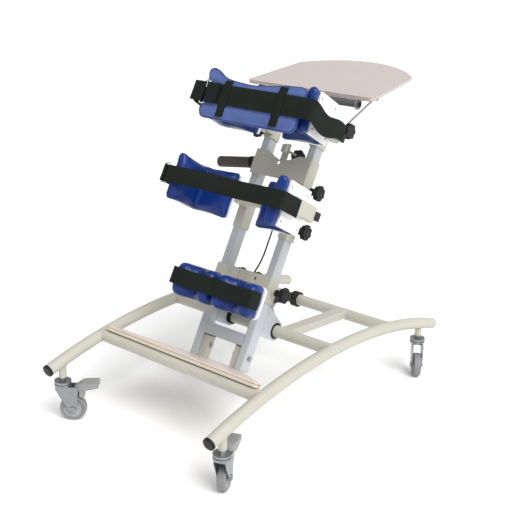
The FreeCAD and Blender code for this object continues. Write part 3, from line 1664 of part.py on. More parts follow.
def make_tray_bracket():
    x0 = tray_plate_x
    x1 = x0 + tray_plate
    bar_far = tray_bar_near + tray_bar_wide
    near = (bar_far, tray_low)
    far = (bar_far, tray_low - tray_plate)
    disc = cyl_x(x0, x1, 0, 0, tray_plate_r)
    web = box(x0, x1, 0, bar_far, tray_low - tray_plate * 2, tray_low)
    roof = box(x0, x1, -tray_plate_r, bar_far, tray_low, tray_low + tray_plate_r)
    plate = disc.fuse(web).cut(roof)
    plate = plate.cut(cyl_x(x0 - cut_over, x1 + cut_over, 0, 0, hinge_tube_r + run_gap))
    bar = box(-x1, x1, tray_bar_near, near[0], far[1], near[1])
    bracket = plate.fuse(flip(plate)).fuse(bar)
    inner = strut_x - strut_head_half - strut_ear_gap
    outer = strut_x + strut_head_half + strut_ear_gap
    base_half = lug_base_long / 2
    base = box(inner - strut_ear, outer + strut_ear, strut_lug_u - base_half,
               strut_lug_u + base_half, tray_low - lug_base, tray_low)
    lug = base
    for x in (inner - strut_ear, outer):
        ear_near = (strut_lug_u + base_half, tray_low - lug_base)
        ear_far = (strut_lug_u - base_half, tray_low - lug_base)
        wire = tangent_outline(x, ear_near, ear_far, strut_lug_u, strut_lug_w, strut_head_r)
        lug = lug.fuse(Part.Face(wire).extrude(V(strut_ear, 0, 0)))
    lug = lug.fuse(cyl_x(inner - strut_ear, outer + strut_ear, strut_lug_u, strut_lug_w,
                         strut_pin_r))
    return [from_tray(bracket), from_tray(lug)]


strut_top = from_tray(Part.Vertex(V(strut_x, strut_lug_u, strut_lug_w))).Point
strut_eye_point = mast_point(strut_x, strut_eye_depth, strut_eye_along)


def make_strut():
    run = strut_eye_point.sub(strut_top)
    direction = V(run)
    direction.normalize()
    end = strut_eye_point.add(direction * strut_beyond)
    rod = cyl(strut_top, end, strut_r)
    head = cyl_x(strut_x - strut_head_half, strut_x + strut_head_half, strut_top.y,
                 strut_top.z, strut_head_r)
    hole = cyl_x(strut_x - strut_head_half - cut_over, strut_x + strut_head_half + cut_over,
                 strut_top.y, strut_top.z, strut_pin_r + strut_pin_play)
    return rod.fuse(head).cut(hole)


def make_strut_eye():
    """Eye block about X, its inner pin in the rail's boss and a stub for the knob."""
    p = strut_eye_point
    x0 = strut_x - eye_block_half
    x1 = strut_x + eye_block_half
    block = cyl_x(x0, x1, p.y, p.z, eye_block_r)
    pin = cyl_x(x0 - seat_gap - eye_pin_long, x0, p.y, p.z, eye_pin_r)
    stub = cyl_x(x1, x1 + eye_stub_long, p.y, p.z, eye_stub_r)
    run = strut_eye_point.sub(strut_top)
    run.normalize()
    start = p.sub(run * (eye_block_r * 2))
    end = p.add(run * (eye_block_r * 2))
    return block.fuse(pin).fuse(stub).cut(cyl(start, end, strut_r + run_gap))


def make_strut_knob():
    knob = make_knob(rear_knob_stem, 0)
    bore = cyl_z(0, 0, -cut_over, eye_stub_long, eye_stub_r + run_gap)
    x = strut_x + eye_block_half + seat_gap
    return knob_to_x(knob.cut(bore), x, strut_eye_point.y, strut_eye_point.z, 1)


save("tray_board", from_tray(make_tray_board()))
save("tray_bracket", make_tray_bracket())
save("tray_strut", make_strut())
save("strut_eye", make_strut_eye())
save("strut_knob", make_strut_knob())
whole = [p.BoundBox for p in plugs]
print("ends", min(b.YMin for b in whole), max(b.YMax for b in whole))
print("spring", anchor_point, spring_top, spring_long)
print("hinge", hinge_point, "strut", strut_top, strut_eye_point)
print("foot_low", foot_low, "foot_top", foot_top)
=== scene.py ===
import json
import logging
import math
from dataclasses import dataclass, field, replace
from enum import Enum
from typing import Any, Callable, Sequence

import bmesh
import bpy
import numpy as np
from mathutils import Matrix, Vector
from mathutils.bvhtree import BVHTree

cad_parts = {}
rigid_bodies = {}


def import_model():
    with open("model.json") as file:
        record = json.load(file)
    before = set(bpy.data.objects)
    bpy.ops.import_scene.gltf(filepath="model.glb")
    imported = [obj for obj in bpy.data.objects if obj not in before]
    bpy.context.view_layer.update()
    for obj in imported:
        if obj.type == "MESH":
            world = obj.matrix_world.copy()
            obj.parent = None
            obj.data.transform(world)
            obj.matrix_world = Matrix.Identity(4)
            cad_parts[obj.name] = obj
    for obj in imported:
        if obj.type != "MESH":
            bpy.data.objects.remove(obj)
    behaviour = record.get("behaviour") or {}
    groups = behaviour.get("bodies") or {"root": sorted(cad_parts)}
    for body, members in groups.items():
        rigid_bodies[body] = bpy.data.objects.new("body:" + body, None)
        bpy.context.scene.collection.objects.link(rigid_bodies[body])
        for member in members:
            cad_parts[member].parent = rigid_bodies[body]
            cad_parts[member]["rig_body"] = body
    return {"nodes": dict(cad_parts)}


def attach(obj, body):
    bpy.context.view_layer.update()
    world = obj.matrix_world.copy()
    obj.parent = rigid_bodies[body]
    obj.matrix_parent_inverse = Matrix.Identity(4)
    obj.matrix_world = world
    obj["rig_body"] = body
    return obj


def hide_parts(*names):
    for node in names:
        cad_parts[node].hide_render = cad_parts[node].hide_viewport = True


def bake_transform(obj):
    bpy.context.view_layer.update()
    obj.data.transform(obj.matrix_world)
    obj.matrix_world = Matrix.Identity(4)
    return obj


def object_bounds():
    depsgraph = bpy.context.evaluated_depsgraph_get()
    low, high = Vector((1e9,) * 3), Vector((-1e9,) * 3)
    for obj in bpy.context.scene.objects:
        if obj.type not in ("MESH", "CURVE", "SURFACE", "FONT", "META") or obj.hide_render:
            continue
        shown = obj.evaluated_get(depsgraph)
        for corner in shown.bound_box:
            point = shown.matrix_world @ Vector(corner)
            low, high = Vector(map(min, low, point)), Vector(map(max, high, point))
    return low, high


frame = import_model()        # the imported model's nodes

cad_box = [list(corner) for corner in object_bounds()]

log = logging.getLogger("tilt_table")
MM = 0.001
FULL_TURN = 2 * math.pi


# Places: frames of the object, entered in millimetres


@dataclass(frozen=True)
class Place:
    """A turned and shifted frame of the object.

    A local point p stands at T (p - anchor) + origin, where T first leans the frame about X,
    its Z towards +Y, and then swings it about Z.

    Attributes:
        origin: Where the anchor stands in the row frame, in millimetres.
        anchor: The local point that stands on the origin.
        lean: Degrees that Z leans towards +Y.
        swing: Degrees about Z, after the lean.
    """

    origin: tuple[float, float, float] = (0.0, 0.0, 0.0)
    anchor: tuple[float, float, float] = (0.0, 0.0, 0.0)
    lean: float = 0.0
    swing: float = 0.0

    def turn(self) -> np.ndarray:
        """Returns the rotation as a 3 by 3 array: the swing times the lean."""
        a, b = math.radians(self.lean), math.radians(self.swing)
        lean_cos, lean_sin, cos, sin = math.cos(a), math.sin(a), math.cos(b), math.sin(b)
        about_x = np.array([[1, 0, 0], [0, lean_cos, lean_sin], [0, -lean_sin, lean_cos]])
        about_z = np.array([[cos, -sin, 0], [sin, cos, 0], [0, 0, 1]])
        return about_z @ about_x

    def world(self, points: np.ndarray) -> np.ndarray:
        """Returns local millimetres as metres of the row frame."""
        return ((points - np.array(self.anchor)) @ self.turn().T + np.array(self.origin)) * MM

    def local(self, points: np.ndarray) -> np.ndarray:
        """Returns metres of the row frame as local millimetres."""
        return (points / MM - np.array(self.origin)) @ self.turn() + np.array(self.anchor)

    def point(self, x: float, y: float, z: float) -> tuple[float, float, float]:
        """Returns one local point as metres of the row frame."""
        return tuple(self.world(np.array([[x, y, z]]))[0])


BASE = Place()
MAST = Place(origin=(0, -36, 241), anchor=(0, 106, 145), lean=27.7)
TRAY = Place(origin=(0, 193.79, 889.51), lean=-8.5)


class Facing(Enum):
    """Directions that a piece made along +Z is turned to, as rows of a rotation."""

    X = ((0, 0, 1), (0, 1, 0), (-1, 0, 0))
    MINUS_X = ((0, 0, -1), (0, 1, 0), (1, 0, 0))
    Y = ((1, 0, 0), (0, 0, 1), (0, -1, 0))


class Side(Enum):
    """Left or right half of the table, as the sign of X."""

    LEFT = -1
    RIGHT = 1

    @property
    def word(self) -> str:
        """The side's word in the names of bodies and nodes."""
        return self.name.lower()


class Wrap(Enum):
    """Whether a grid, always closed round its columns, also closes along its rows."""

    ROUND = False
    RING = True


# Surfaces: whole arrays of points, with their unrolled coordinates


@dataclass(frozen=True)
class Shell:
    """One surface.

    Attributes:
        points: Its points in millimetres, (n, 3).
        quads: Its faces as point numbers, (m, 4).
        unrolled: The faces' corners in the unrolled surface in metres, (m, 4, 2).
        caps: Flat end faces as lists of point numbers.
    """

    points: np.ndarray
    quads: np.ndarray
    unrolled: np.ndarray
    caps: tuple[tuple[int, ...], ...] = ()

    def at(self, x: float, y: float, z: float) -> "Shell":
        """Returns the shell moved by an offset."""
        return replace(self, points=self.points + np.array([x, y, z]))

    def facing(self, way: Facing) -> "Shell":
        """Returns the shell with its Z turned to a facing."""
        return replace(self, points=self.points @ np.array(way.value, float).T)

    def across(self, side: Side) -> "Shell":
        """Returns the shell for a side: mirrored in X for the left."""
        return replace(self, points=self.points * np.array([side.value, 1, 1]))


def surface(points: np.ndarray, wrap: Wrap = Wrap.ROUND, capped: bool = True) -> Shell:
    """Returns a grid of points, (rows, columns, 3), as a surface of quads, capped if it has ends.

    Corner (i, j) of a face is point i * columns + j, taken round the end where the grid wraps.
    The unrolled coordinates are the mean lengths gone along the rows and round the columns.
    """
    rows, columns = points.shape[:2]
    bands = rows if wrap.value else rows - 1
    i, j = np.meshgrid(np.arange(bands), np.arange(columns), indexing="ij")
    steps = ((0, 0), (1, 0), (1, 1), (0, 1))
    quads = np.stack([((i + a) % rows) * columns + (j + b) % columns for a, b in steps], -1)
    down = np.linalg.norm(np.diff(points, axis=0, append=points[:1]), axis=2).mean(1)
    around = np.linalg.norm(np.diff(points, axis=1, append=points[:, :1]), axis=2).mean(0)
    along = np.concatenate([[0], np.cumsum(down)])
    across = np.concatenate([[0], np.cumsum(around)])
    unrolled = np.stack([np.stack([along[i + a], across[j + b]], -1) for a, b in steps], 2)
    ends: tuple[tuple[int, ...], ...] = ()
    if wrap is Wrap.ROUND and capped:
        last = (rows - 1) * columns
        ends = (tuple(range(columns)), tuple(range(last, last + columns)))
    return Shell(points.reshape(-1, 3), quads.reshape(-1, 4), unrolled.reshape(-1, 4, 2) * MM, ends)


def unit(vectors: np.ndarray) -> np.ndarray:
    """Returns each vector divided by its length."""
    return vectors / np.linalg.norm(vectors, axis=-1, keepdims=True)


def circle(points: int) -> np.ndarray:
    """Returns the angles of evenly spread points round a circle, in radians."""
    return np.linspace(0, FULL_TURN, points, endpoint=False)


def polar(r: np.ndarray, a: np.ndarray, h: np.ndarray) -> np.ndarray:
    """Returns the points (r cos a, r sin a, h) of arrays that broadcast together."""
    return np.stack(np.broadcast_arrays(r * np.cos(a), r * np.sin(a), h), -1)


def ring_section(radius: float, sides: int = 20) -> np.ndarray:
    """Returns a circle as an outline: radius times (cos a, sin a)."""
    a = circle(sides)
    return radius * np.stack([np.cos(a), np.sin(a)], -1)


def bar_section(width: float, height: float, corner: float, steps: int = 4) -> np.ndarray:
    """Returns a rectangle's outline, (n, 2): each corner's centre plus a quarter circle."""
    quarter = np.linspace(0, math.pi / 2, steps + 1)
    angles = quarter[None] + np.arange(4)[:, None] * math.pi / 2
    signs = np.array([[1, 1], [-1, 1], [-1, -1], [1, -1]])
    centres = signs * np.array([width / 2 - corner, height / 2 - corner])
    arcs = corner * np.stack([np.cos(angles), np.sin(angles)], -1)
    return (centres[:, None] + arcs).reshape(-1, 2)


def cushion_section(width: float, height: float, power: float, sides: int) -> np.ndarray:
    """Returns a squared-off oval, (sides, 2): (cos a, sin a) over its power norm, then sized."""
    a = circle(sides)
    c, s = np.cos(a), np.sin(a)
    reach = (np.abs(c) ** power + np.abs(s) ** power) ** (-1 / power)
    return np.stack([c * reach * width / 2, s * reach * height / 2], -1)


def bent(corners: Sequence[Sequence[float]], reach: float, steps: int = 7) -> np.ndarray:
    """Returns an open path with its inner corners rounded.

    Each corner C gives way to the parabola (1-t)^2 A + 2t(1-t) C + t^2 B, where A and B are
    `reach` before and after it.
    """
    path = np.array(corners, float)
    a = path[1:-1] - unit(path[1:-1] - path[:-2]) * reach
    b = path[1:-1] + unit(path[2:] - path[1:-1]) * reach
    t = np.linspace(0, 1, steps)[None, :, None]
    arcs = (1 - t) ** 2 * a[:, None] + 2 * t * (1 - t) * path[1:-1, None] + t**2 * b[:, None]
    return np.concatenate([path[:1], arcs.reshape(-1, 3), path[-1:]])


def evened(path: np.ndarray, step: float) -> np.ndarray:
    """Returns a path's points laid out again at equal lengths near the step."""
    run = np.concatenate([[0], np.cumsum(np.linalg.norm(np.diff(path, axis=0), axis=1))])
    at = np.linspace(0, run[-1], max(2, int(round(run[-1] / step)) + 1))
    return np.stack([np.interp(at, run, path[:, k]) for k in range(3)], -1)


def carried(
    path: np.ndarray, section: np.ndarray, up: Sequence[float], ring: bool = False
) -> np.ndarray:
    """Carries a section along a path: P + s S + n N, (n, m, 3).

    S is square to the path and to `up`, N is square to both, and (s, n) are the section's points.

    Args:
        path: The path's points, (n, 3).
        section: One outline (m, 2), or one for each point of the path (n, m, 2).
        up: A direction that the path never follows.
        ring: Whether the path closes on itself.
    """
    ahead = np.roll(path, -1, 0) - np.roll(path, 1, 0) if ring else np.gradient(path, axis=0)
    ahead = unit(ahead)
    side = unit(np.cross(ahead, np.array(up, float)))
    normal = np.cross(side, ahead)
    section = np.broadcast_to(section, (len(path), *section.shape[-2:]))
    return path[:, None] + section[..., :1] * side[:, None] + section[..., 1:] * normal[:, None]


def tube(
    path: np.ndarray, radius: float, up: Sequence[float], sides: int = 16, ring: bool = False
) -> Shell:
    """Returns a round tube along a path, capped unless it is a ring."""
    grid = carried(path, ring_section(radius, sides), up, ring)
    return surface(grid, Wrap.RING if ring else Wrap.ROUND)


def turned(profile: Sequence[Sequence[float]], turns: int = 48, closed: bool = False) -> Shell:
    """Turns a profile of (radius, height) about Z; a closed one is a loop off the axis."""
    r, h = np.array(profile, float).T[..., None]
    wrap = Wrap.RING if closed else Wrap.ROUND
    return surface(polar(r, circle(turns), h), wrap, capped=False)


def upright(flat: np.ndarray, x: float, y: float, z: float) -> np.ndarray:
    """Returns a flat outline, (n, 2), stood up in the XZ plane round a centre, (n, 3)."""
    return np.stack([flat[:, 0] + x, 0 * flat[:, 0] + y, flat[:, 1] + z], -1)


def bell(x: np.ndarray, middle: float, width: float) -> np.ndarray:
    """Returns a soft bump of height one: exp(-((x - middle) / width)^2)."""
    return np.exp(-(((x - middle) / width) ** 2))


def step(x: np.ndarray | float, middle: float, width: float) -> np.ndarray | float:
    """Returns a soft step, downwards for a negative width: 1 / (1 + exp(-(x - middle) / width))."""
    return 1 / (1 + np.exp(-(x - middle) / width))


# Shader maths


class Value:
    """An output of a material's nodes, on which arithmetic adds Math nodes."""

    def __init__(self, paint: "Paint", socket: bpy.types.NodeSocket) -> None:
        """Wraps a socket of the paint's tree."""
        self.paint = paint
        self.socket = socket

    def _maths(self, operation: str, first: Any, second: Any) -> "Value":
        """Returns a Math node of the operation on two terms."""
        return self.paint.node("Math", {"operation": operation}, {0: first, 1: second})

    def __add__(self, other: Any) -> "Value":
        """Adds."""
        return self._maths("ADD", self, other)

    def __sub__(self, other: Any) -> "Value":
        """Subtracts."""
        return self._maths("SUBTRACT", self, other)

    def __rsub__(self, other: Any) -> "Value":
        """Subtracts this from a number."""
        return self._maths("SUBTRACT", other, self)

    def __mul__(self, other: Any) -> "Value":
        """Multiplies."""
        return self._maths("MULTIPLY", self, other)

    def __pow__(self, other: Any) -> "Value":
        """Raises to a power."""
        return self._maths("POWER", self, other)

    __radd__ = __add__
    __rmul__ = __mul__

    def sine(self) -> "Value":
        """Returns the sine."""
        return self._maths("SINE", self, 0)

    def size(self) -> "Value":
        """Returns the value without its sign."""
        return self._maths("ABSOLUTE", self, 0)

    def part(self, index: int) -> "Value":
        """Returns one component of a vector."""
        return self.paint.node("SeparateXYZ", {}, {0: self}, out=index)

    def between(self, low: float, high: float) -> "Value":
        """Returns 0 below low, 1 above high and a smooth rise between them."""
        return self.paint.node(
            "MapRange", {"interpolation_type": "SMOOTHSTEP"}, {"Value": self, 1: low, 2: high}
        )


class Paint:
    """One material: its nodes and the shader that they feed."""

    def __init__(self, name: str) -> None:
        """Makes an empty material."""
        self.material = bpy.data.materials.new(name)
        self.material.use_nodes = True
        self.tree = self.material.node_tree
        self.shader = self.tree.nodes["Principled BSDF"]

    def node(
        self, kind: str, settings: dict[str, Any], sockets: dict[str | int, Any], out: str | int = 0
    ) -> Value:
        """Adds a node.

        Args:
            kind: The node's type without its ShaderNode prefix.
            settings: Its settings, set before its sockets.
            sockets: Values or links of its inputs.
            out: The output that is returned.

        Returns:
            That output.
        """
        node = self.tree.nodes.new("ShaderNode" + kind)
        for key, value in settings.items():
            setattr(node, key, value)
        for key, value in sockets.items():
            self.feed(node.inputs[key], value)
        return Value(self, node.outputs[out])

    def feed(self, socket: bpy.types.NodeSocket, value: Any) -> None:
        """Links or sets a socket."""
        if isinstance(value, Value):
            self.tree.links.new(value.socket, socket)
        else:
            socket.default_value = value

    def set(self, **numbers: float) -> None:
        """Sets the shader's own sockets; underscores in a name stand for spaces."""
        for key, value in numbers.items():
            name = key.replace("_", " ").title().replace("Ior", "IOR")
            self.shader.inputs[name].default_value = value

    def here(self) -> Value:
        """Returns the object coordinates, in metres."""
        return self.node("TexCoord", {}, {}, out="Object")

    def unrolled(self) -> Value:
        """Returns the piece's own unrolled coordinates, in metres."""
        return self.node("TexCoord", {}, {}, out="UV")

    def stretched(self, where: Value, scale: Sequence[float]) -> Value:
        """Returns coordinates multiplied along each axis."""
        return self.node("Mapping", {}, {"Vector": where, "Scale": tuple(scale)})

    def noise(self, where: Value, scale: float, detail: float = 3.0, rough: float = 0.5) -> Value:
        """Returns soft noise of a scale in features per metre."""
        sockets = {"Vector": where, "Scale": scale, "Detail": detail, "Roughness": rough}
        return self.node("TexNoise", {}, sockets)

    def cells(self, where: Value, scale: float) -> Value:
        """Returns the distance to the nearest of many scattered points."""
        return self.node("TexVoronoi", {}, {"Vector": where, "Scale": scale})

    def blend(self, share: Any, first: Any, second: Any) -> Value:
        """Returns a colour between two, by a share."""
        return self.node("Mix", {"data_type": "RGBA"}, {0: share, 6: first, 7: second}, out=2)

    def finish(
        self, colour: Any, roughness: Any, height: Value | None = None, deep: float = 0.0
    ) -> None:
        """Feeds the shader.

        Args:
            colour: Base colour.
            roughness: Roughness.
            height: Height of the surface detail, if any.
            deep: Metres that a height of one stands for.
        """
        self.feed(self.shader.inputs["Base Color"], colour)
        self.feed(self.shader.inputs["Roughness"], roughness)
        if height is not None:
            bump = self.node("Bump", {}, {"Height": height, "Distance": deep, "Strength": 1.0})
            self.feed(self.shader.inputs["Normal"], bump)


def tone(
    red: float, green: float, blue: float, share: float = 1.0
) -> tuple[float, float, float, float]:
    """Returns a share of a display colour's light: ((c/255 + 0.055) / 1.055)^2.4 a channel."""
    lights = [share * ((c / 255 + 0.055) / 1.055) ** 2.4 for c in (red, green, blue)]
    return (*lights, 1.0)


@dataclass(frozen=True)
class Finish:
    """A finish of the table.

    Attributes:
        name: The material's name.
        slot: The record's slot that it stands for; not used.
        colour: Display colour, each channel 0 to 255.
        roughness: Mean roughness.
    """

    name: str
    slot: str
    colour: tuple[float, float, float]
    roughness: float

    def material(self) -> bpy.types.Material:
        """Returns the finish's material, made once."""
        made = bpy.data.materials.get(self.name)
        if made is None:
            paint = Paint(self.name)
            self.mix(paint)
            made = paint.material
        return made

    def mix(self, paint: Paint) -> None:
        """Builds the nodes; each kind of finish has its own."""
        raise NotImplementedError

    def shade(self, share: float) -> tuple[float, float, float, float]:
        """Returns the finish's colour, lighter or darker by a share of its light."""
        return tone(*self.colour, share=share)


@dataclass(frozen=True)
class Enamel(Finish):
    """Powder coat: orange-peel surface, faint cloudiness and a few rubbed spots."""

    peel: float = 0.00008

    def mix(self, paint: Paint) -> None:
        """Clouds the colour with wide noise, rubs it with fine streaks and adds the peel."""
        here = paint.here()
        clouds = paint.noise(here, 9, 4, 0.6)
        rubs = paint.noise(paint.stretched(here, (14, 40, 40)), 3, 6, 0.75).between(0.66, 0.74)
        colour = paint.blend(clouds, self.shade(0.9), self.shade(1.06))
        colour = paint.blend(rubs * 0.35, colour, self.shade(0.72))
        peel = paint.noise(here, 900, 2, 0.4) + paint.noise(here, 260, 2, 0.5) * 1.4
        paint.finish(colour, self.roughness + (clouds - 0.5) * 0.12 + rubs * 0.15, peel, self.peel)
        paint.set(coat_weight=0.12, coat_roughness=0.22)


@dataclass(frozen=True)
class Moulding(Finish):
    """Moulded plastic or rubber with a fine spark-eroded texture and dusty patches."""

    grain: float = 0.00006
    dust: float = 0.5
    gloss: float = 0.5

    def mix(self, paint: Paint) -> None:
        """Lightens the dusty patches and adds the fine grain."""
        here = paint.here()
        dust = paint.noise(here, 30, 5, 0.65).between(0.45, 0.8)
        grain = paint.noise(here, 1600, 2, 0.5)
        colour = paint.blend(dust * self.dust, self.shade(0.85), self.shade(1.5))
        paint.finish(colour, self.roughness + dust * 0.12 + grain * 0.08, grain, self.grain)
        paint.set(specular_ior_level=self.gloss)


@dataclass(frozen=True)
class Vinyl(Finish):
    """Upholstery vinyl: pebbled grain under a glossy skin, with painted shade in the grain's
    hollows.
    """

    def mix(self, paint: Paint) -> None:
        """Joins two sizes of cells to a pebbled grain, paints shade in its hollows and varies
        colour and gloss slowly.
        """
        here = paint.here()
        pebbles = paint.cells(here, 620) * 0.7 + paint.cells(here, 1150) * 0.3
        creases = paint.noise(here, 75, 4, 0.6)
        wide = paint.noise(here, 12, 3, 0.5)
        colour = paint.blend(wide, self.shade(0.86), self.shade(1.16))
        # Painted shade: the colour darkens between the pebbles, in the grain's hollows.
        colour = paint.blend(pebbles.between(0.45, 0.75) * 0.3, colour, self.shade(0.6))
        roughness = self.roughness + (wide - 0.5) * 0.14 + pebbles * 0.1
        paint.finish(colour, roughness, pebbles * -0.35 + creases * 1.6, 0.00022)
        paint.set(coat_weight=0.22, coat_roughness=0.2, specular_ior_level=0.22)


@dataclass(frozen=True)
class Cloth(Finish):
    """Woven nylon: a plain weave on the piece's own unrolled coordinates.

    Attributes:
        threads: Threads per metre along and across.
        ribbed: How far the ribs along the piece stand out over the cross threads.
        sheen: Strength of the fibres' sheen.
    """

    threads: tuple[float, float] = (700.0, 560.0)
    ribbed: float = 0.5
    sheen: float = 0.25

    def mix(self, paint: Paint) -> None:
        """Crosses two sine waves whose product alternates, as over-and-under threads do, and paints
        shade in the weave's dips and light on its crests.
        """
        where = paint.unrolled()
        warp = (where.part(0) * (self.threads[0] * math.pi)).sine()
        weft = (where.part(1) * (self.threads[1] * math.pi)).sine()
        over = (warp * weft).between(-0.6, 0.6)
        ribs = weft.size() ** 0.5
        fuzz = paint.noise(paint.here(), 420, 3, 0.7)
        wide = paint.noise(paint.here(), 16, 3, 0.5)
        weave = over * (1 - self.ribbed) + ribs * self.ribbed
        # Painted shade and light: the colour is darker in the weave's dips and lighter on the
        # threads' crests.
        colour = paint.blend(weave, self.shade(0.62), self.shade(1.12))
        colour = paint.blend(wide.between(0.3, 0.8) * 0.4, colour, self.shade(1.45))
        paint.finish(colour, self.roughness + fuzz * 0.1, weave + fuzz * 0.5, 0.00025)
        paint.set(sheen_weight=self.sheen, sheen_roughness=0.4, specular_ior_level=0.12)


@dataclass(frozen=True)
class Foam(Finish):
    """Closed-cell foam: pitted matt skin."""

    def mix(self, paint: Paint) -> None:
        """Pits the skin with cells and mottles its colour."""
        here = paint.here()
        pits = paint.cells(here, 900)
        mottle = paint.noise(here, 60, 4, 0.6)
        colour = paint.blend(mottle, self.shade(0.75), self.shade(1.3))
        paint.finish(colour, self.roughness, pits + mottle * 0.6, 0.0003)


@dataclass(frozen=True)
class Steel(Finish):
    """Plated steel.

    Attributes:
        brushed: Strength of the fine lines along X.
    """

    brushed: float = 0.6

    def mix(self, paint: Paint) -> None:
        """Draws fine lines along X and a mottle of plating, brighter and duller."""
        here = paint.here()
        lines = paint.noise(paint.stretched(here, (60, 2400, 2400)), 1, 2, 0.5)
        mottle = paint.noise(here, 55, 4, 0.6)
        colour = paint.blend(mottle, self.shade(0.82), self.shade(1.1))
        roughness = self.roughness + lines * (0.12 * self.brushed) + (mottle - 0.5) * 0.14
        paint.finish(colour, roughness, lines * self.brushed, 0.00003)
        paint.set(metallic=0.9)


@dataclass(frozen=True)
class Board(Finish):
    """Smooth white plastic board with faint handling marks."""

    def mix(self, paint: Paint) -> None:
        """Smears the gloss and greys the surface very slightly."""
        here = paint.here()
        smears = paint.noise(paint.stretched(here, (1, 1, 4)), 22, 5, 0.6)
        scuffs = paint.noise(paint.stretched(here, (30, 30, 160)), 2, 5, 0.8).between(0.68, 0.74)
        colour = paint.blend(smears, self.shade(0.95), self.shade(1.03))
        colour = paint.blend(scuffs * 0.3, colour, self.shade(0.75))
        paint.finish(colour, self.roughness + smears * 0.15, smears + scuffs * 0.4, 0.0001)


@dataclass(frozen=True)
class Plywood(Finish):
    """Lacquered pale plywood: grain on the faces, thin dark lines along the edges: glued plies, and
    on the footboard a painted shadow line.

    Attributes:
        lean: Degrees that the board leans, to find its edges.
        top: Height of its upper face along its own normal, in metres.
        lines: Depths of the dark lines under that face, in metres: the tray's glued plies and the
            footboard's painted shadow line.
        under: Colour of the edge below the last line.
    """

    lean: float = 0.0
    top: float = 0.0
    lines: tuple[float, ...] = ()
    under: tuple[float, float, float] = (196, 190, 172)

    def mix(self, paint: Paint) -> None:
        """Draws long fibres along X with wide shades, and the dark lines where the normal is level.
        """
        here = paint.here()
        a = math.radians(self.lean)
        up = (0.0, math.sin(a), math.cos(a))
        height = paint.node("VectorMath", {"operation": "DOT_PRODUCT"}, {0: here, 1: up}, out=1)
        facing = paint.node("NewGeometry", {}, {}, out="Normal")
        level = paint.node("VectorMath", {"operation": "DOT_PRODUCT"}, {0: facing, 1: up}, out=1)
        edge = 1 - level.size().between(0.3, 0.7)
        fibres = paint.noise(paint.stretched(here, (1.0, 22, 22)), 22, 6, 0.65)
        wide = paint.noise(paint.stretched(here, (0.6, 3, 3)), 6, 4, 0.5)
        depth = self.top - height
        face = paint.blend(fibres.between(0.35, 0.7), self.shade(0.92), self.shade(1.05))
        face = paint.blend(wide * 0.5, face, self.shade(0.96))
        last = self.lines[-1]
        rim = paint.blend(depth.between(last, last + 0.0008), face, tone(*self.under))
        for line in self.lines:
            # A dark line: a glued ply on the tray, a painted shadow line on the footboard.
            ply_and_shadow_line = (1 - (depth - line).size().between(0.0005, 0.0012)) * fibres.between(0.3, 0.5)
            rim = paint.blend(ply_and_shadow_line, rim, tone(140, 100, 80))
        colour = paint.blend(edge, face, rim)
        paint.finish(colour, self.roughness + fibres * 0.12, fibres * 0.5, 0.00008)
        paint.set(coat_weight=0.2, coat_roughness=0.2)


CREAM = Enamel("cream_powder_coat", "cream_enamel", (180, 178, 166), 0.42)
SILVER = Enamel("silver_powder_coat", "silver_enamel", (176, 180, 185), 0.3)
DARK_GREY = Enamel("dark_grey_coat", "dark_grey_enamel", (84, 86, 90), 0.4)
BLACK = Moulding("black_moulding", "black_plastic", (22, 23, 23), 0.4, gloss=0.25)
GREY = Moulding("grey_moulding", "grey_plastic", (150, 151, 150), 0.45, dust=0.2)
# The hubs' grey plastic is painted lighter than the pedals' to stand for the light on the wheels'
# sides.
LIT_HUB_GREY = Moulding("hub_moulding", "grey_plastic", (168, 169, 170), 0.4, dust=0.2)
TYRE = Moulding("tyre_rubber", "grey_rubber", (136, 136, 139), 0.55, dust=0.25)
WHITE = Board("smooth_white_board", "white_board", (240, 241, 245), 0.35)
ZINC = Steel("zinc_plate", "zinc_steel", (150, 152, 156), 0.32)
CHROME = Steel("bright_chrome", "chrome_steel", (214, 216, 219), 0.12, brushed=0.25)
VINYL = Vinyl("royal_blue_vinyl", "blue_vinyl", (9, 44, 114), 0.32)
PIPING = Vinyl("dark_blue_piping", "blue_vinyl", (16, 36, 96), 0.36)
NYLON = Cloth("mid_blue_nylon", "blue_nylon", (80, 98, 152), 0.6, (900.0, 900.0), ribbed=0.2)
BINDING = Cloth("blue_binding", "blue_nylon", (48, 66, 122), 0.6)
WEBBING = Cloth(
    "ribbed_black_webbing", "black_webbing", (26, 31, 28), 0.7, (360.0, 420.0), sheen=0.0
)
GRIP_FOAM = Foam("grip_foam", "grey_foam", (74, 70, 66), 0.85)
TRAY_PLY = Plywood(
    "tray_plywood", "pale_wood", (190, 180, 175), 0.4, -8.5, 0.8753, (0.0012, 0.0108)
)
# The footboard's dark line 5.5 mm under its top is painted shadow: the shade between the board and
# the tube under it.
FOOT_PLY = Plywood("foot_plywood", "pale_wood", (210, 195, 184), 0.4, 27.7, 0.05694, (0.0055,))


# Pieces


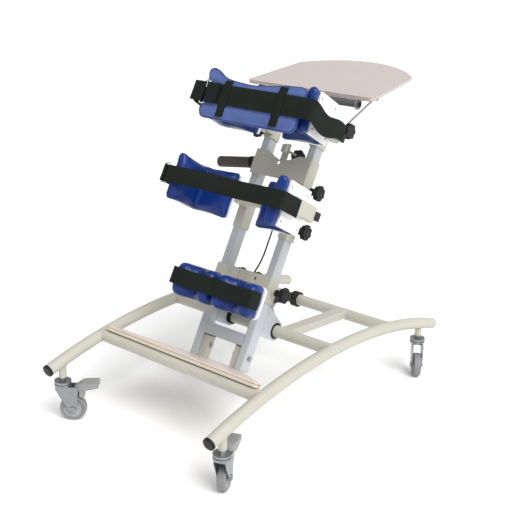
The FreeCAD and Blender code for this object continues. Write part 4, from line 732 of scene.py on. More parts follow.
def piece(
    name: str, shells: Sequence[Shell], finish: Finish, place: Place, crease: float
) -> bpy.types.Object:
    """Returns one object of shells that are entered in a place, with the place in its mesh."""
    firsts = np.cumsum([0] + [len(s.points) for s in shells])
    faces: list[list[int]] = []
    corners: list[np.ndarray] = []
    for shell, first in zip(shells, firsts):
        faces += (shell.quads + first).tolist()
        corners.append(shell.unrolled.reshape(-1, 2))
        faces += [[k + int(first) for k in cap] for cap in shell.caps]
        corners += [shell.points[list(cap)][:, :2] * MM for cap in shell.caps]
    mesh = bpy.data.meshes.new(name)
    mesh.from_pydata(place.world(np.concatenate([s.points for s in shells])).tolist(), [], faces)
    mesh.uv_layers.new(name="UVMap").data.foreach_set("uv", np.concatenate(corners).ravel())
    work = bmesh.new()
    work.from_mesh(mesh)
    bmesh.ops.remove_doubles(work, verts=work.verts, dist=1e-6)
    bmesh.ops.recalc_face_normals(work, faces=work.faces)
    work.to_mesh(mesh)
    work.free()
    return dressed(name, mesh, finish, crease)


def dressed(name: str, mesh: bpy.types.Mesh, finish: Finish, crease: float) -> bpy.types.Object:
    """Makes an object of a mesh, smooth up to a crease angle, in a finish."""
    mesh.shade_smooth()
    mesh.set_sharp_from_angle(angle=math.radians(crease))
    mesh.materials.clear()
    mesh.materials.append(finish.material())
    made = bpy.data.objects.new(name, mesh)
    bpy.context.scene.collection.objects.link(made)
    return made


def bevelled(made: bpy.types.Object, width: float) -> None:
    """Rounds an object's sharp edges by a width in millimetres."""
    rounding = made.modifiers.new("edges", "BEVEL")
    rounding.width, rounding.segments = width * MM, 2
    rounding.limit_method, rounding.angle_limit = "ANGLE", math.radians(38)
    rounding.harden_normals = True


def islands(work: bmesh.types.BMesh) -> list[list[bmesh.types.BMFace]]:
    """Groups the faces that hang together by shared edges."""
    groups, left = [], set(work.faces)
    while left:
        group, edge = [], [left.pop()]
        while edge:
            face = edge.pop()
            group.append(face)
            near = {f for e in face.edges for f in e.link_faces} & left
            left -= near
            edge += near
        groups.append(sorted(group, key=lambda f: f.index))
    return sorted(groups, key=lambda g: g[0].index)


def cut_out(
    work: bmesh.types.BMesh, faces: Sequence[bmesh.types.BMFace], name: str
) -> bpy.types.Mesh:
    """Returns a new mesh of some of a mesh's faces."""
    used = sorted({v.index for f in faces for v in f.verts})
    number = {v: i for i, v in enumerate(used)}
    mesh = bpy.data.meshes.new(name)
    spots = [tuple(work.verts[v].co) for v in used]
    mesh.from_pydata(spots, [], [[number[v.index] for v in f.verts] for f in faces])
    return mesh


@dataclass(frozen=True)
class Other:
    """A solid of a node that has its own name and finish, found by its middle."""

    name: str
    middle: tuple[float, float, float]
    finish: Finish
    bevel: float = 0.8


@dataclass
class Assembly:
    """A group of pieces that is built and dressed together.

    Attributes:
        place: The frame that its sizes are entered in.
    """

    place: Place = MAST

    def build(self) -> None:
        """Builds every piece of the group."""
        raise NotImplementedError

    def add(
        self,
        name: str,
        shells: Sequence[Shell],
        finish: Finish,
        body: str | None,
        nodes: Sequence[str] = (),
        crease: float = 40,
    ) -> bpy.types.Object:
        """Adds a new piece.

        Args:
            name: Its name.
            shells: Its surfaces.
            finish: Its finish.
            body: The body that it rides on, or None for no body.
            nodes: The nodes that it stands for.
            crease: Degrees above which an edge stays sharp.

        Returns:
            The piece.
        """
        made = piece(name, shells, finish, self.place, crease)
        if body is not None:
            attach(made, body)
        if nodes:
            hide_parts(*nodes)
        log.info("%s: %d faces", name, len(made.data.polygons))
        return made

    def keep(
        self, node: str, finish: Finish, bevel: float = 0.6, others: Sequence[Other] = ()
    ) -> None:
        """Carries a node's solids over as merged, smooth and bevelled copies.

        Args:
            node: The CAD node.
            finish: The finish of its solids.
            bevel: Width of its rounded edges in millimetres.
            others: Solids with a finish of their own.
        """
        source = frame["nodes"][node]
        work = bmesh.new()
        work.from_mesh(source.data)
        bmesh.ops.remove_doubles(work, verts=work.verts, dist=2e-6)
        bmesh.ops.dissolve_limit(
            work, angle_limit=math.radians(0.08), verts=work.verts, edges=work.edges
        )
        work.verts.ensure_lookup_table()
        work.verts.index_update()
        work.faces.index_update()
        groups = islands(work)
        middles = []
        for group in groups:
            spots = self.place.local(np.array([v.co for f in group for v in f.verts], float))
            middles.append((spots.min(0) + spots.max(0)) / 2)
        main = Other("body", (0, 0, 0), finish, bevel)
        owner = [main] * len(groups)
        for other in others:
            gaps = [np.linalg.norm(m - np.array(other.middle)) for m in middles]
            owner[int(np.argmin(gaps))] = other
        for kind in (main, *others):
            faces = [f for group, o in zip(groups, owner) if o is kind for f in group]
            if faces:
                copy = dressed(f"{node}_{kind.name}", cut_out(work, faces, node), kind.finish, 32)
                bevelled(copy, kind.bevel)
                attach(copy, source["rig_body"])
                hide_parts(node)
        work.free()
        log.info("%s: %d solids", node, len(groups))


@dataclass
class BaseFrame(Assembly):
    """Bowed side rails, cross tubes, plugs and the spring's anchor, with their welds.

    Attributes:
        track: Half the distance between the rails' axes.
        tube: Radius of the tubes.
        bow: Radius of the rails' bow.
        apex: Y and Z of the top of the bow.
        cross: Y of the cross tubes.
        stems: Y of the caster sockets.
        socket: Radius of the sockets.
        bead: Radius of a weld bead.
    """

    place: Place = BASE
    track: float = 295.0
    tube: float = 17.5
    bow: float = 1850.0
    apex: tuple[float, float] = (-34.0, 241.0)
    cross: tuple[float, ...] = (-354.0, -36.0, 272.0)
    stems: tuple[float, ...] = (-505.0, 472.0)
    socket: float = 11.0
    bead: float = 1.8

    def height(self, y: float) -> float:
        """Returns the rail's axis height: the bow's circle over y."""
        return self.apex[1] - self.bow + math.sqrt(self.bow**2 - (y - self.apex[0]) ** 2)

    def weld(self, side: Side) -> list[Shell]:
        """Beads where tubes meet a rail.

        A cross tube's bead follows x = track - R |cos a|, y = R cos a, z = R sin a. A socket's
        follows its circle, at the height of the rail's underside.

        Args:
            side: The rail.

        Returns:
            The beads.
        """
        a = circle(56)
        beads = []
        for y in self.cross:
            inward = self.tube * np.maximum(np.abs(np.cos(a)), 0.12)
            around = ring_section(self.tube + 0.4, 56)
            level = self.height(y)
            path = np.stack([self.track - inward, y + around[:, 0], level + around[:, 1]], -1)
            beads.append(tube(path, self.bead, (1, 0, 0), 8, ring=True).across(side))
        for y in self.stems:
            x, forward = ring_section(self.socket, 56).T
            under = self.height(y) - np.sqrt(self.tube**2 - x**2)
            path = np.stack([self.track + x, y + forward, under], -1)
            beads.append(tube(path, self.bead, (0, 0, 1), 8, ring=True).across(side))
        return beads

    def build(self) -> None:
        """Carries the tubes over and adds the welds."""
        for side in Side:
            self.keep(f"side_rail_{side.word}", CREAM, 0.5)
            self.add(f"rail_welds_{side.word}", self.weld(side), CREAM, "base_frame", crease=180)
        self.keep("cross_frame", CREAM, 0.5)
        self.keep("rail_end_plugs", BLACK, 0.4)
        self.keep("spring_anchor", BLACK, 0.5)


@dataclass
class Caster(Assembly):
    """A swivelling caster with its fork, wheel and, in front, its brake pedal.

    Attributes:
        corner: Its corner in the names of nodes and bodies.
        braked: Whether it has a pedal.
        trail: Wheel axle's distance from the stem.
        wheel: Wheel radius.
        wide: Tyre width.
        rim: Radius where the tyre meets the hub.
    """

    corner: str = ""
    braked: bool = False
    trail: float = 29.0
    wheel: float = 37.5
    wide: float = 23.0
    rim: float = 27.0

    def tyre(self) -> Shell:
        """A round-cornered band turned about the axle."""
        band = bar_section(self.wheel - self.rim, self.wide - 0.4, 4.4, 5)
        band[:, 0] += (self.wheel + self.rim) / 2
        return turned(band, 72, closed=True).facing(Facing.Y).at(self.trail, 0, self.wheel)

    def hub(self) -> Shell:
        """A dished disc turned about the axle, with six ribs: height + w (cos 6a sharpened)."""
        half = [
            (4.2, 10.8), (7.4, 10.8), (8.6, 10.0), (9.6, 7.0),
            (16, 6.2), (23, 6.6), (25.0, 9.6), (27.1, 10.3),
        ]
        rib = np.array([0, 0, 0, 2.4, 3.0, 2.6, 0, 0])
        r, h = np.array(half, float).T
        r, sign = np.concatenate([r, r[::-1]]), np.repeat([1.0, -1.0], len(h))
        h, rib = np.concatenate([h, h[::-1]]), np.concatenate([rib, rib[::-1]])
        a = circle(144)
        ridge = np.clip(np.cos(6 * a) * 5 - 4, 0, 1)
        high = sign[:, None] * (h[:, None] + rib[:, None] * ridge)
        disc = surface(polar(r[:, None], a, high), Wrap.RING)
        return disc.facing(Facing.Y).at(self.trail, 0, self.wheel)

    def build(self) -> None:
        """Carries the fork and pedal over and builds the wheel."""
        self.keep(f"caster_fork_{self.corner}", ZINC, 0.5)
        node, body = f"caster_wheel_{self.corner}", f"wheel_{self.corner}"
        self.add(f"caster_tyre_{self.corner}", [self.tyre()], TYRE, body, [node])
        self.add(f"caster_hub_{self.corner}", [self.hub()], LIT_HUB_GREY, body, [node], crease=50)
        if self.braked:
            self.keep(f"brake_pedal_{self.corner}", GREY, 0.9)


@dataclass
class Carried(Assembly):
    """Pieces that look as their solids do: mast, gas spring and tray.

    Attributes:
        kept: Finish and width of the rounded edges for each node.
    """

    kept: dict[str, tuple[Finish, float]] = field(default_factory=dict)

    def build(self) -> None:
        """Carries every node over."""
        for node, (finish, bevel) in self.kept.items():
            self.keep(node, finish, bevel)


@dataclass(frozen=True)
class StarKnob:
    """A seven-lobed star knob along +Z.

    Attributes:
        boss: Length of its boss.
        radius: Radius of its lobes.
        high: Thickness of its head.
        hub: Radius of its boss.
        bite: Radius of the circles that cut the finger hollows.
        out: Distance of those circles' centres from the axis.
        lobes: Number of lobes.
    """

    boss: float
    radius: float = 23.0
    high: float = 15.0
    hub: float = 11.0
    bite: float = 9.0
    out: float = 29.0
    lobes: int = 7

    def outline(self, a: np.ndarray) -> np.ndarray:
        """Returns the head's radii at angles a.

        A ray at d from a hollow's middle meets its circle at out cos d - sqrt(bite^2 -
        out^2 sin^2 d), and the head's radius is a soft minimum of that and the lobe radius.
        """
        share = FULL_TURN / self.lobes
        d = (a + share / 2) % share - share / 2
        inside = self.bite**2 - (self.out * np.sin(d)) ** 2
        hollow = self.out * np.cos(d) - np.sqrt(np.maximum(inside, 0))
        hollow = np.where(inside > 0, hollow, self.radius + 6)
        return -np.log(np.exp(-hollow / 0.5) + np.exp(-self.radius / 0.5)) * 0.5

    def shell(self) -> Shell:
        """Turns the boss round and lets the head follow its lobed outline.

        The radius is s hub (1 - w) + s outline(a) w for each profile row (s, height, w).
        """
        b, t = self.boss, self.boss + self.high
        rows = [
            (0, 0, 0), (0.9, 0, 0), (1, 0.8, 0), (1, b - 1.2, 0), (1.18, b - 0.2, 0), (0.86, b, 1),
            (0.955, b + 0.5, 1), (1, b + 2.4, 1), (1, t - 4, 1), (0.975, t - 1.8, 1),
            (0.93, t - 0.5, 1), (0.86, t, 1), (0.7, t, 0.6), (1.2, t - 0.1, 0), (1.1, t - 1.0, 0),
            (1.02, t - 2.0, 0), (0.98, t - 1.9, 0), (0.9, t - 0.7, 0), (0.6, t - 0.1, 0),
            (0, t + 0.1, 0),
        ]
        s, h, w = np.array(rows, float).T
        a = circle(112)
        radius = s[:, None] * (self.hub * (1 - w[:, None]) + self.outline(a)[None] * w[:, None])
        return surface(polar(radius, a, h[:, None]), capped=False)

    def stud(self, long: float) -> Shell:
        """A threaded stud below the boss: 3.7 + 0.3 cos of the height, a turn for each pitch."""
        h = np.linspace(0, -long, max(6, int(long * 4)))
        r = 3.7 + 0.3 * np.cos(h / 1.25 * FULL_TURN)
        profile = [(0, h[0]), *zip(r, h), (0, h[-1])]
        return turned(profile, 24)


@dataclass
class ClampKnob(Assembly):
    """A star knob on a carriage's clamp boss, or behind a bracket.

    Attributes:
        node: Its node.
        body: Its body.
        knob: Its shape.
        way: Where its head faces.
        spot: Where its boss starts.
        stud: Length of its stud, or 0.
    """

    node: str = ""
    body: str = ""
    knob: StarKnob = StarKnob(22.0)
    way: Facing = Facing.X
    spot: tuple[float, float, float] = (0, 0, 0)
    stud: float = 0.0

    def build(self) -> None:
        """Builds the knob and its stud."""
        head = self.knob.shell().facing(self.way).at(*self.spot)
        self.add(f"{self.node}_head", [head], BLACK, self.body, [self.node], crease=60)
        if self.stud > 0:
            stud = self.knob.stud(self.stud).facing(self.way).at(*self.spot)
            self.add(f"{self.node}_stud", [stud], ZINC, self.body, [self.node], crease=60)


@dataclass(frozen=True)
class Strap:
    """Flat webbing along a path, on edge.

    Attributes:
        low: Lower edge.
        high: Upper edge.
        thick: Thickness.
    """

    low: float
    high: float
    thick: float = 1.9

    @property
    def middle(self) -> float:
        """Z of its middle."""
        return (self.low + self.high) / 2

    @property
    def half(self) -> float:
        """Half its height."""
        return (self.high - self.low) / 2

    def shell(
        self, path: np.ndarray, droop: np.ndarray | float = 0.0, tall: np.ndarray | float = 1.0
    ) -> Shell:
        """Carries the webbing's section along a path in plan.

        Args:
            path: Points whose Z is ignored.
            droop: How far each point hangs below the strap's own height.
            tall: Share of the strap's height that shows at each point.

        Returns:
            The webbing.
        """
        path = path.copy()
        path[:, 2] = self.middle - droop
        section = bar_section(self.thick, self.high - self.low, 0.8, 2)
        share = np.stack([np.ones(len(path)), np.ones(len(path)) * tall], -1)
        return surface(carried(path, section[None] * share[:, None, :], (0, 0, 1)))

    def upright(self, x: float, y: float, inset: float = 3.0) -> Shell:
        """A stitch line up the strap, an inset from its edges."""
        return self.seam([(x, y, self.low + inset), (x, y, self.high - inset)])

    def seam(self, ends: Sequence[Sequence[float]]) -> Shell:
        """A stitch line from end to end: a fine tube whose radius shrinks once a stitch."""
        path = evened(np.array(ends, float), 0.8)
        phase = np.arange(len(path)) % 5
        size = np.where(phase == 4, 0.25, 1.0)[:, None, None] * ring_section(0.25, 6)[None]
        return surface(carried(path, size, (0.31, 0.22, 0.93)))


@dataclass(frozen=True)
class WireRing:
    """A rectangular ring of round wire in the XZ plane.

    Attributes:
        left: X of its left bar.
        wide: Distance between its bars.
        y: Its Y.
        low: Lower end.
        high: Upper end.
        wire: Radius of the wire.
    """

    left: float
    wide: float
    y: float
    low: float
    high: float
    wire: float = 2.0

    def shell(self) -> Shell:
        """Carries the wire round the rectangle."""
        flat = bar_section(self.wide, self.high - self.low + self.wire * 4, 3.0, 5)
        path = upright(flat, self.left + self.wide / 2, self.y, (self.low + self.high) / 2)
        return tube(path, self.wire, (0, 1, 0), 12, ring=True)

    def hook(self, bar: int, start: float, sweep: float) -> np.ndarray:
        """Returns a strap's turn in plan round the left bar, 0, or the right one, 1.

        With r the wire and half a strap, it is the bar + r (cos a, sin a), with a in degrees.
        """
        a = np.radians(np.linspace(start, start + sweep, 12))
        return np.array([self.left + bar * self.wide, self.y, 0.0]) + polar(self.wire + 1.3, a, 0.0)


@dataclass
class Padding(Assembly):
    """Upholstered pads: foam swollen inside a sewn vinyl skin.

    Attributes:
        voxel: Size of the skin's cells while it swells.
        shrink: How far the skin starts inside the foam's own form.
        cap: Farthest that a point may move while it swells.
        pressure: Pressure of the foam.
        smooths: Times that the swollen skin is evened out.
        frames: Steps of the cloth.
    """

    voxel: float = 4.5
    shrink: float = 1.8
    cap: float = 8.0
    pressure: float = 5.0
    smooths: int = 14
    frames: int = 20

    def swell(
        self,
        node: str,
        low: Sequence[float],
        high: Sequence[float],
        shaped: Callable[[np.ndarray], np.ndarray],
    ) -> bpy.types.Mesh:
        """Swells a copy of a node's solid as padded fabric.

        The solid is cut into even cells and drawn in, then Blender's cloth swells it under
        pressure. Each point's move is capped and held inside a box.

        Args:
            node: The CAD node.
            low: Low corner of the room that the pad may fill, in the place's millimetres.
            high: High corner of that room.
            shaped: A last change of the points, in the place's millimetres.

        Returns:
            The finished mesh in metres of the row frame.
        """
        source = bpy.data.objects.new(f"{node}_form", frame["nodes"][node].data.copy())
        bpy.context.scene.collection.objects.link(source)
        cells = source.modifiers.new("cells", "REMESH")
        cells.mode, cells.voxel_size = "VOXEL", self.voxel * MM
        form = self.applied(source)
        normals = np.zeros(len(form.vertices) * 3, np.float32)
        form.vertices.foreach_get("normal", normals)
        start = self.points(form) - normals.reshape(-1, 3) * self.shrink * MM
        self.place_points(form, start)
        end = self.blown(source)
        move = end - start
        far = np.linalg.norm(move, axis=1, keepdims=True)
        end = start + move * np.minimum(1, self.cap * MM / np.maximum(far, 1e-9))
        spots = shaped(np.clip(self.place.local(end), low, high))
        self.place_points(form, self.place.world(spots))
        even = source.modifiers.new("even", "SMOOTH")
        even.factor, even.iterations = 0.5, self.smooths
        fine = source.modifiers.new("fine", "SUBSURF")
        fine.levels = fine.render_levels = 1
        mesh = self.applied(source)
        bpy.data.objects.remove(source)
        return mesh

    def blown(self, source: bpy.types.Object) -> np.ndarray:
        """Returns an object's points after its skin was swollen as cloth under pressure."""
        scene = bpy.context.scene
        soft = source.modifiers.new("cloth", "CLOTH")
        soft.settings.use_pressure = True
        soft.settings.uniform_pressure_force = self.pressure
        soft.settings.effector_weights.gravity = 0
        soft.settings.quality = 6
        scene.frame_start, scene.frame_end = 1, self.frames
        for now in range(1, self.frames + 1):
            scene.frame_set(now)
        bpy.context.view_layer.update()
        graph = bpy.context.evaluated_depsgraph_get()
        end = self.points(source.evaluated_get(graph).data)
        source.modifiers.remove(soft)
        scene.frame_set(1)
        return end

    def rounded(
        self, across: np.ndarray, up: np.ndarray, wide: float, tall: float
    ) -> tuple[np.ndarray, np.ndarray]:
        """Draws the points of a corner in to a quarter ellipse.

        Args:
            across: How far each point lies past the corner's centre, sideways.
            up: The same upwards.
            wide: Half axis of the ellipse sideways.
            tall: Half axis upwards.

        Returns:
            Both distances, shortened where the two together reach beyond the ellipse.
        """
        far = np.hypot(np.maximum(across, 0) / wide, np.maximum(up, 0) / tall)
        scale = 1 / np.maximum(far, 1)
        return np.where(across > 0, across * scale, across), np.where(up > 0, up * scale, up)

    def applied(self, source: bpy.types.Object) -> bpy.types.Mesh:
        """Gives an object the mesh that its modifiers make, and returns it."""
        graph = bpy.context.evaluated_depsgraph_get()
        mesh = bpy.data.meshes.new_from_object(source.evaluated_get(graph))
        source.modifiers.clear()
        source.data = mesh
        return mesh

    def points(self, mesh: bpy.types.Mesh) -> np.ndarray:
        """Returns a mesh's points, (n, 3)."""
        spots = np.zeros(len(mesh.vertices) * 3, np.float32)
        mesh.vertices.foreach_get("co", spots)
        return spots.reshape(-1, 3).astype(float)

    def place_points(self, mesh: bpy.types.Mesh, spots: np.ndarray) -> None:
        """Moves a mesh's points."""
        mesh.vertices.foreach_set("co", spots.astype(np.float32).ravel())
        mesh.update()

    def mirrored(self, mesh: bpy.types.Mesh) -> bpy.types.Mesh:
        """Returns the mesh mirrored in X, with its faces turned outward again."""
        copy = mesh.copy()
        spots = self.points(copy) * np.array([-1, 1, 1])
        self.place_points(copy, spots)
        copy.flip_normals()
        return copy

    def laid_on(self, mesh: bpy.types.Mesh, path: np.ndarray, sink: float = 0.3) -> np.ndarray:
        """Lays a path on a pad.

        Args:
            mesh: The pad, in metres of the row frame.
            path: Points near its skin, in the place's millimetres.
            sink: How far the path is set into the skin.

        Returns:
            The path on the skin, in millimetres.
        """
        corners = [v.co for v in mesh.vertices]
        tree = BVHTree.FromPolygons(corners, [p.vertices for p in mesh.polygons])
        found = [tree.find_nearest(Vector(p)) for p in self.place.world(path)]
        spots = np.array([spot - normal * sink * MM for spot, normal, _, _ in found])
        return self.place.local(spots)

    def pad(
        self,
        node: str,
        body: str,
        mesh: bpy.types.Mesh,
        seams: Sequence[np.ndarray],
        fill: float,
    ) -> None:
        """Dresses a pad and sews its seams.

        Args:
            node: The node that it stands for.
            body: The body that it rides on.
            mesh: Its skin.
            seams: Closed paths of its piping, in the place's millimetres.
            fill: How full the foam is; not used.
        """
        skin = dressed(f"{node}_skin", mesh, VINYL, 60)
        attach(skin, body)
        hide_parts(node)
        piping = []
        for seam in seams:
            line = self.laid_on(mesh, seam)
            line = (np.roll(line, 1, 0) + 2 * line + np.roll(line, -1, 0)) / 4
            piping.append(tube(line, 1.3, (0, 0, 1), 8, ring=True))
        cord = self.add(f"{node}_piping", piping, PIPING, body, crease=180)
        log.info("%s: %d points", node, len(mesh.vertices))


@dataclass
class KneeUnit(Padding):
    """Knee pads on their slotted plate, with the strap across them.

    Attributes:
        inner: X of a pad's inner side.
        outer: X of its outer side.
        low: Lower end of the pads.
        high: Upper end.
        back: Y of their backs.
        front: Y of their fronts.
        bulge: How far the fronts stand out above and below the strap.
        corner: Radius of their corners.
        strap: The strap across them.
    """

    inner: float = 2.5
    outer: float = 145.0
    low: float = 150.0
    high: float = 250.0
    back: float = -75.3
    front: float = -135.0
    bulge: float = 5.5
    corner: float = 18.0
    strap: Strap = Strap(179.0, 228.0)

    def pressed(self, spots: np.ndarray) -> np.ndarray:
        """Presses the pad behind the strap and lets it swell above and below.

        The front may stand out by the bulge away from the strap, by a soft step in z, and the
        depth falls off by the fifth power of the height towards both ends.
        """
        middle, half = (self.low + self.high) / 2, (self.high - self.low) / 2
        centre, wide = (self.inner + self.outer) / 2, (self.outer - self.inner) / 2
        x, y, z = spots.T
        held = step(np.abs(z - self.strap.middle), self.strap.half + 3, -1.6)
        y = np.maximum(y, self.front - self.bulge * (1 - held))
        rise = np.minimum(np.abs(z - middle) / half, 1.05) ** 5
        y = self.back + (y - self.back) * (1 - 0.2 * rise)
        across = np.abs(x - centre) - wide + self.corner
        up = np.abs(z - middle) - half + self.corner
        across, up = self.rounded(across, up, self.corner + 1.5, self.corner + 2)
        x = centre + np.sign(x - centre) * (across + wide - self.corner)
        z = middle + np.sign(z - middle) * (up + half - self.corner)
        return np.stack([x, y, z], -1)

    def seam(self, z: float) -> np.ndarray:
        """Outline of the pad's front panel at one height, as a closed path.

        It runs up and down the pad a share inside its sides: a rounded rectangle in X and Z,
        laid on the skin afterwards.
        """
        flat = bar_section(self.outer - self.inner - 8, self.high - self.low - 8, 12, 8)
        path = upright(flat, (self.inner + self.outer) / 2, z, (self.low + self.high) / 2)
        closed = np.concatenate([path, path[:1]])
        return evened(closed, 2.5)[:-1]

    def build(self) -> None:
        """Builds the pads, brackets, knobs and strap."""
        low = (self.inner - 1.3, self.front - 6, self.low - 2)
        high = (self.outer + 1.2, self.back, self.high + 2)
        right = self.swell("knee_cushion_right", low, high, self.pressed)
        for side in Side:
            mesh = right if side is Side.RIGHT else self.mirrored(right)
            seams = [self.seam(self.back - 8) * np.array([side.value, 1, 1])]
            self.pad(f"knee_cushion_{side.word}", f"knee_{side.word}", mesh, seams, 0.75)
            board = Other("board", (side.value * 73.75, -71, 200), WHITE, 1.2)
            self.keep(f"knee_bracket_{side.word}", CREAM, 0.6, [board])
            ClampKnob(
                node=f"knee_knob_{side.word}", body=f"knee_{side.word}_knob", knob=StarKnob(8.0),
                way=Facing.Y, spot=(side.value * 29.0, 8.7, 268.0),
            ).build()
        self.keep("knee_carriage", CREAM, 0.7)
        ClampKnob(node="knee_clamp_knob", body="knee_clamp", spot=(111.6, 20, 246), stud=12).build()
        self.build_strap()

    def build_strap(self) -> None:
        """Lays the strap over both pads in two halves."""
        x, y = self.outer + 1.4, self.front - 1.35
        for side in Side:
            path = bent([(0, y, 0), (x, y, 0), (x, y + 40, 0)], 7)
            path = evened(path, 3)
            path[:, 1] += 3.5 * bell(path[:, 0], 0, 13)
            droop = 1.5 * bell(path[:, 0], 70, 40)
            shells = [self.strap.shell(path, droop).across(side)]
            for z in (self.strap.low + 3, self.strap.high - 3):
                end = np.array([(x + 1.0, y + 36, z), (x + 1.0, y + 12, z)])
                shells.append(self.strap.seam(end).across(side))
            half = self.add(f"knee_strap_{side.word}", shells, WEBBING, None, ["knee_strap"])
            self.place.point(side.value * 6, y, 203)
            self.place.point(side.value * 130, y, 203)
            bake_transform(half)


@dataclass
class SupportUnit(Padding):
    """Hip or chest supports: carriage, two arms with L boards and L pads, and a clamp knob.

    Attributes:
        name: Its word in the names of nodes and bodies.
        low: Lower end of the pads.
        high: Upper end.
        board: X of the boards' outer faces.
        leg_back: Y of the boards' backs.
        leg_inner: X where the pads' legs begin.
        wing_end: Y of the wings' ends, forward.
        tube_mid: Z of the holder tube.
        knob_spot: Where the clamp knob's boss starts.
        knob_way: Where it faces.
        held_at: Z of the middle of what holds the wings' ends back.
        held_half: Half of its height.
        bulge: How far the wings' ends may stand out above and below it.
        strap: The strap across them.
        strap_front: Y of the strap's middle, forward.
        flare: How far they stand out sideways past the boards, and get thinner at both ends.
        corner: Radius of their corners.
        pad_thick: Thickness of the pads.
        board_thick: Thickness of the boards.
        arm_box: Width of the arms' tubes.
    """

    name: str = "hip"
    low: float = 396.0
    high: float = 540.0
    board: float = 195.0
    leg_back: float = 83.0
    leg_inner: float = 50.0
    wing_end: float = 235.0
    tube_mid: float = 474.5
    knob_spot: tuple[float, float, float] = (111.6, 20, 435)
    knob_way: Facing = Facing.X
    held_at: float = 467.0
    held_half: float = 28.0
    bulge: float = 7.0
    strap: Strap = Strap(442.0, 492.0)
    strap_front: float = 241.0
    flare: float = 5.0
    corner: float = 28.0
    pad_thick: float = 30.0
    board_thick: float = 8.0
    arm_box: float = 18.0

    @property
    def arm_out(self) -> float:
        """X of the arms' outer faces."""
        return self.board + self.arm_box

    @property
    def reach(self) -> float:
        """How far forward the boards go."""
        return self.wing_end * 0.86

    @property
    def pad_outer(self) -> float:
        """X of the pads' outer faces."""
        return self.board - self.board_thick - 0.3

    @property
    def pad_back(self) -> float:
        """Y of the pads' backs."""
        return -self.leg_back - self.board_thick - 0.3

    def eased(self, spots: np.ndarray) -> np.ndarray:
        """Keeps the skin flat on its L board, and lets the wing's end bulge past it.

        The end may bulge forward away from the strap and outward beyond the board, by soft
        steps in z and y. Its corners are drawn in to quarter circles, and the pad thins
        towards both ends by the fifth power of the height.
        """
        x, y, z = spots.T
        middle, half = (self.low + self.high) / 2, (self.high - self.low) / 2
        held = step(np.abs(z - self.held_at), self.held_half, -2.0)
        y = np.maximum(y, -self.wing_end - 1.0 - self.bulge * (1 - held))
        ahead = step(y, -self.reach - 7, -2.0)
        out = self.pad_outer - 14
        x = np.where(x > out, x + self.flare * ahead * np.clip((x - out) / 14, 0, 1), x)
        thin = self.flare * np.minimum(np.abs(z - middle) / half, 1.05) ** 5
        front = self.pad_back - self.pad_thick
        inside = (self.pad_outer - x > 8) & (y < self.pad_back - 8)
        x = np.where(inside & (y < front), x + thin, x)
        y = np.where(inside & (y > front - 6) & (x < self.pad_outer - 50), y + thin, y)
        ahead, up = -y - self.wing_end + self.corner, np.abs(z - middle) - half + self.corner
        ahead, up = self.rounded(ahead, up, self.corner + 1 + self.bulge, self.corner + 1.5)
        y = -(ahead + self.wing_end - self.corner)
        z = middle + np.sign(z - middle) * (up + half - self.corner)
        return np.stack([x, y, z], -1)

    def outline(self, z: float, inset: float) -> np.ndarray:
        """The pad's L outline in plan at a height, drawn in by an inset, as a closed path."""
        out, back = self.pad_outer - inset, self.pad_back - inset
        inner = self.pad_outer - self.pad_thick + inset
        front = self.pad_back - self.pad_thick + inset
        start, end = self.leg_inner + inset, -self.wing_end + inset
        points = [
            (out - 20, back, z), (start, back, z), (start, front, z), (inner, front, z),
            (inner, end, z), (out, end, z), (out, back - 20, z),
        ]
        path = bent(points, 6, 6)
        corner = bent([points[-1], (out, back, z), points[0]], 18, 8)
        return evened(np.concatenate([path, corner[1:-1], path[:1]]), 3)[:-1]

    def screws(self, side: Side) -> list[Shell]:
        """Countersunk heads on the board: a low dome with a slot dished across."""
        profile = [
            (0, 0.25), (0.9, 0.3), (1.3, 0.85), (2.4, 0.7), (3.3, 0.25), (3.5, -0.4), (0, -0.4),
        ]
        head = turned(profile, 20).facing(Facing.X)
        return [
            head.at(self.board, y, z).across(side)
            for y in (-self.reach + 9, -self.leg_back - 26)
            for z in (self.low + 24, self.high - 24)
        ]

    def build(self) -> None:
        """Builds the pads, arms, carriage and knob."""
        low = (self.leg_inner - 1.5, -self.wing_end - self.bulge - 1.0, self.low - 1.5)
        high = (self.pad_outer, self.pad_back, self.high + 1.5)
        right = self.swell(f"{self.name}_cushion_right", low, high, self.eased)
        for side in Side:
            s = side.value
            body = f"{self.name}_{side.word}"
            mesh = right if side is Side.RIGHT else self.mirrored(right)
            heights = (self.low + 3, self.high - 3)
            seams = [self.outline(z, 2.0) * np.array([s, 1, 1]) for z in heights]
            self.pad(f"{self.name}_cushion_{side.word}", body, mesh, seams, 0.8)
            middle = (
                s * (self.leg_inner + 8 + self.board) / 2, -(self.reach + self.leg_back) / 2,
                (self.low + self.high) / 2,
            )
            board = Other("board", middle, WHITE, 1.3)
            plug = Other("plug", (s * (self.arm_out + 1.5), -63, self.tube_mid), BLACK, 0.6)
            self.keep(f"{self.name}_arm_{side.word}", CREAM, 0.8, [board, plug])
            self.add(f"{self.name}_screws_{side.word}", self.screws(side), ZINC, body, crease=50)
        self.keep(f"{self.name}_carriage", CREAM, 0.7)
        ClampKnob(
            node=f"{self.name}_clamp_knob", body=f"{self.name}_clamp", way=self.knob_way,
            spot=self.knob_spot, stud=12,
        ).build()
        self.build_straps()

    def build_straps(self) -> None:
        """Builds the straps of the unit."""
        raise NotImplementedError

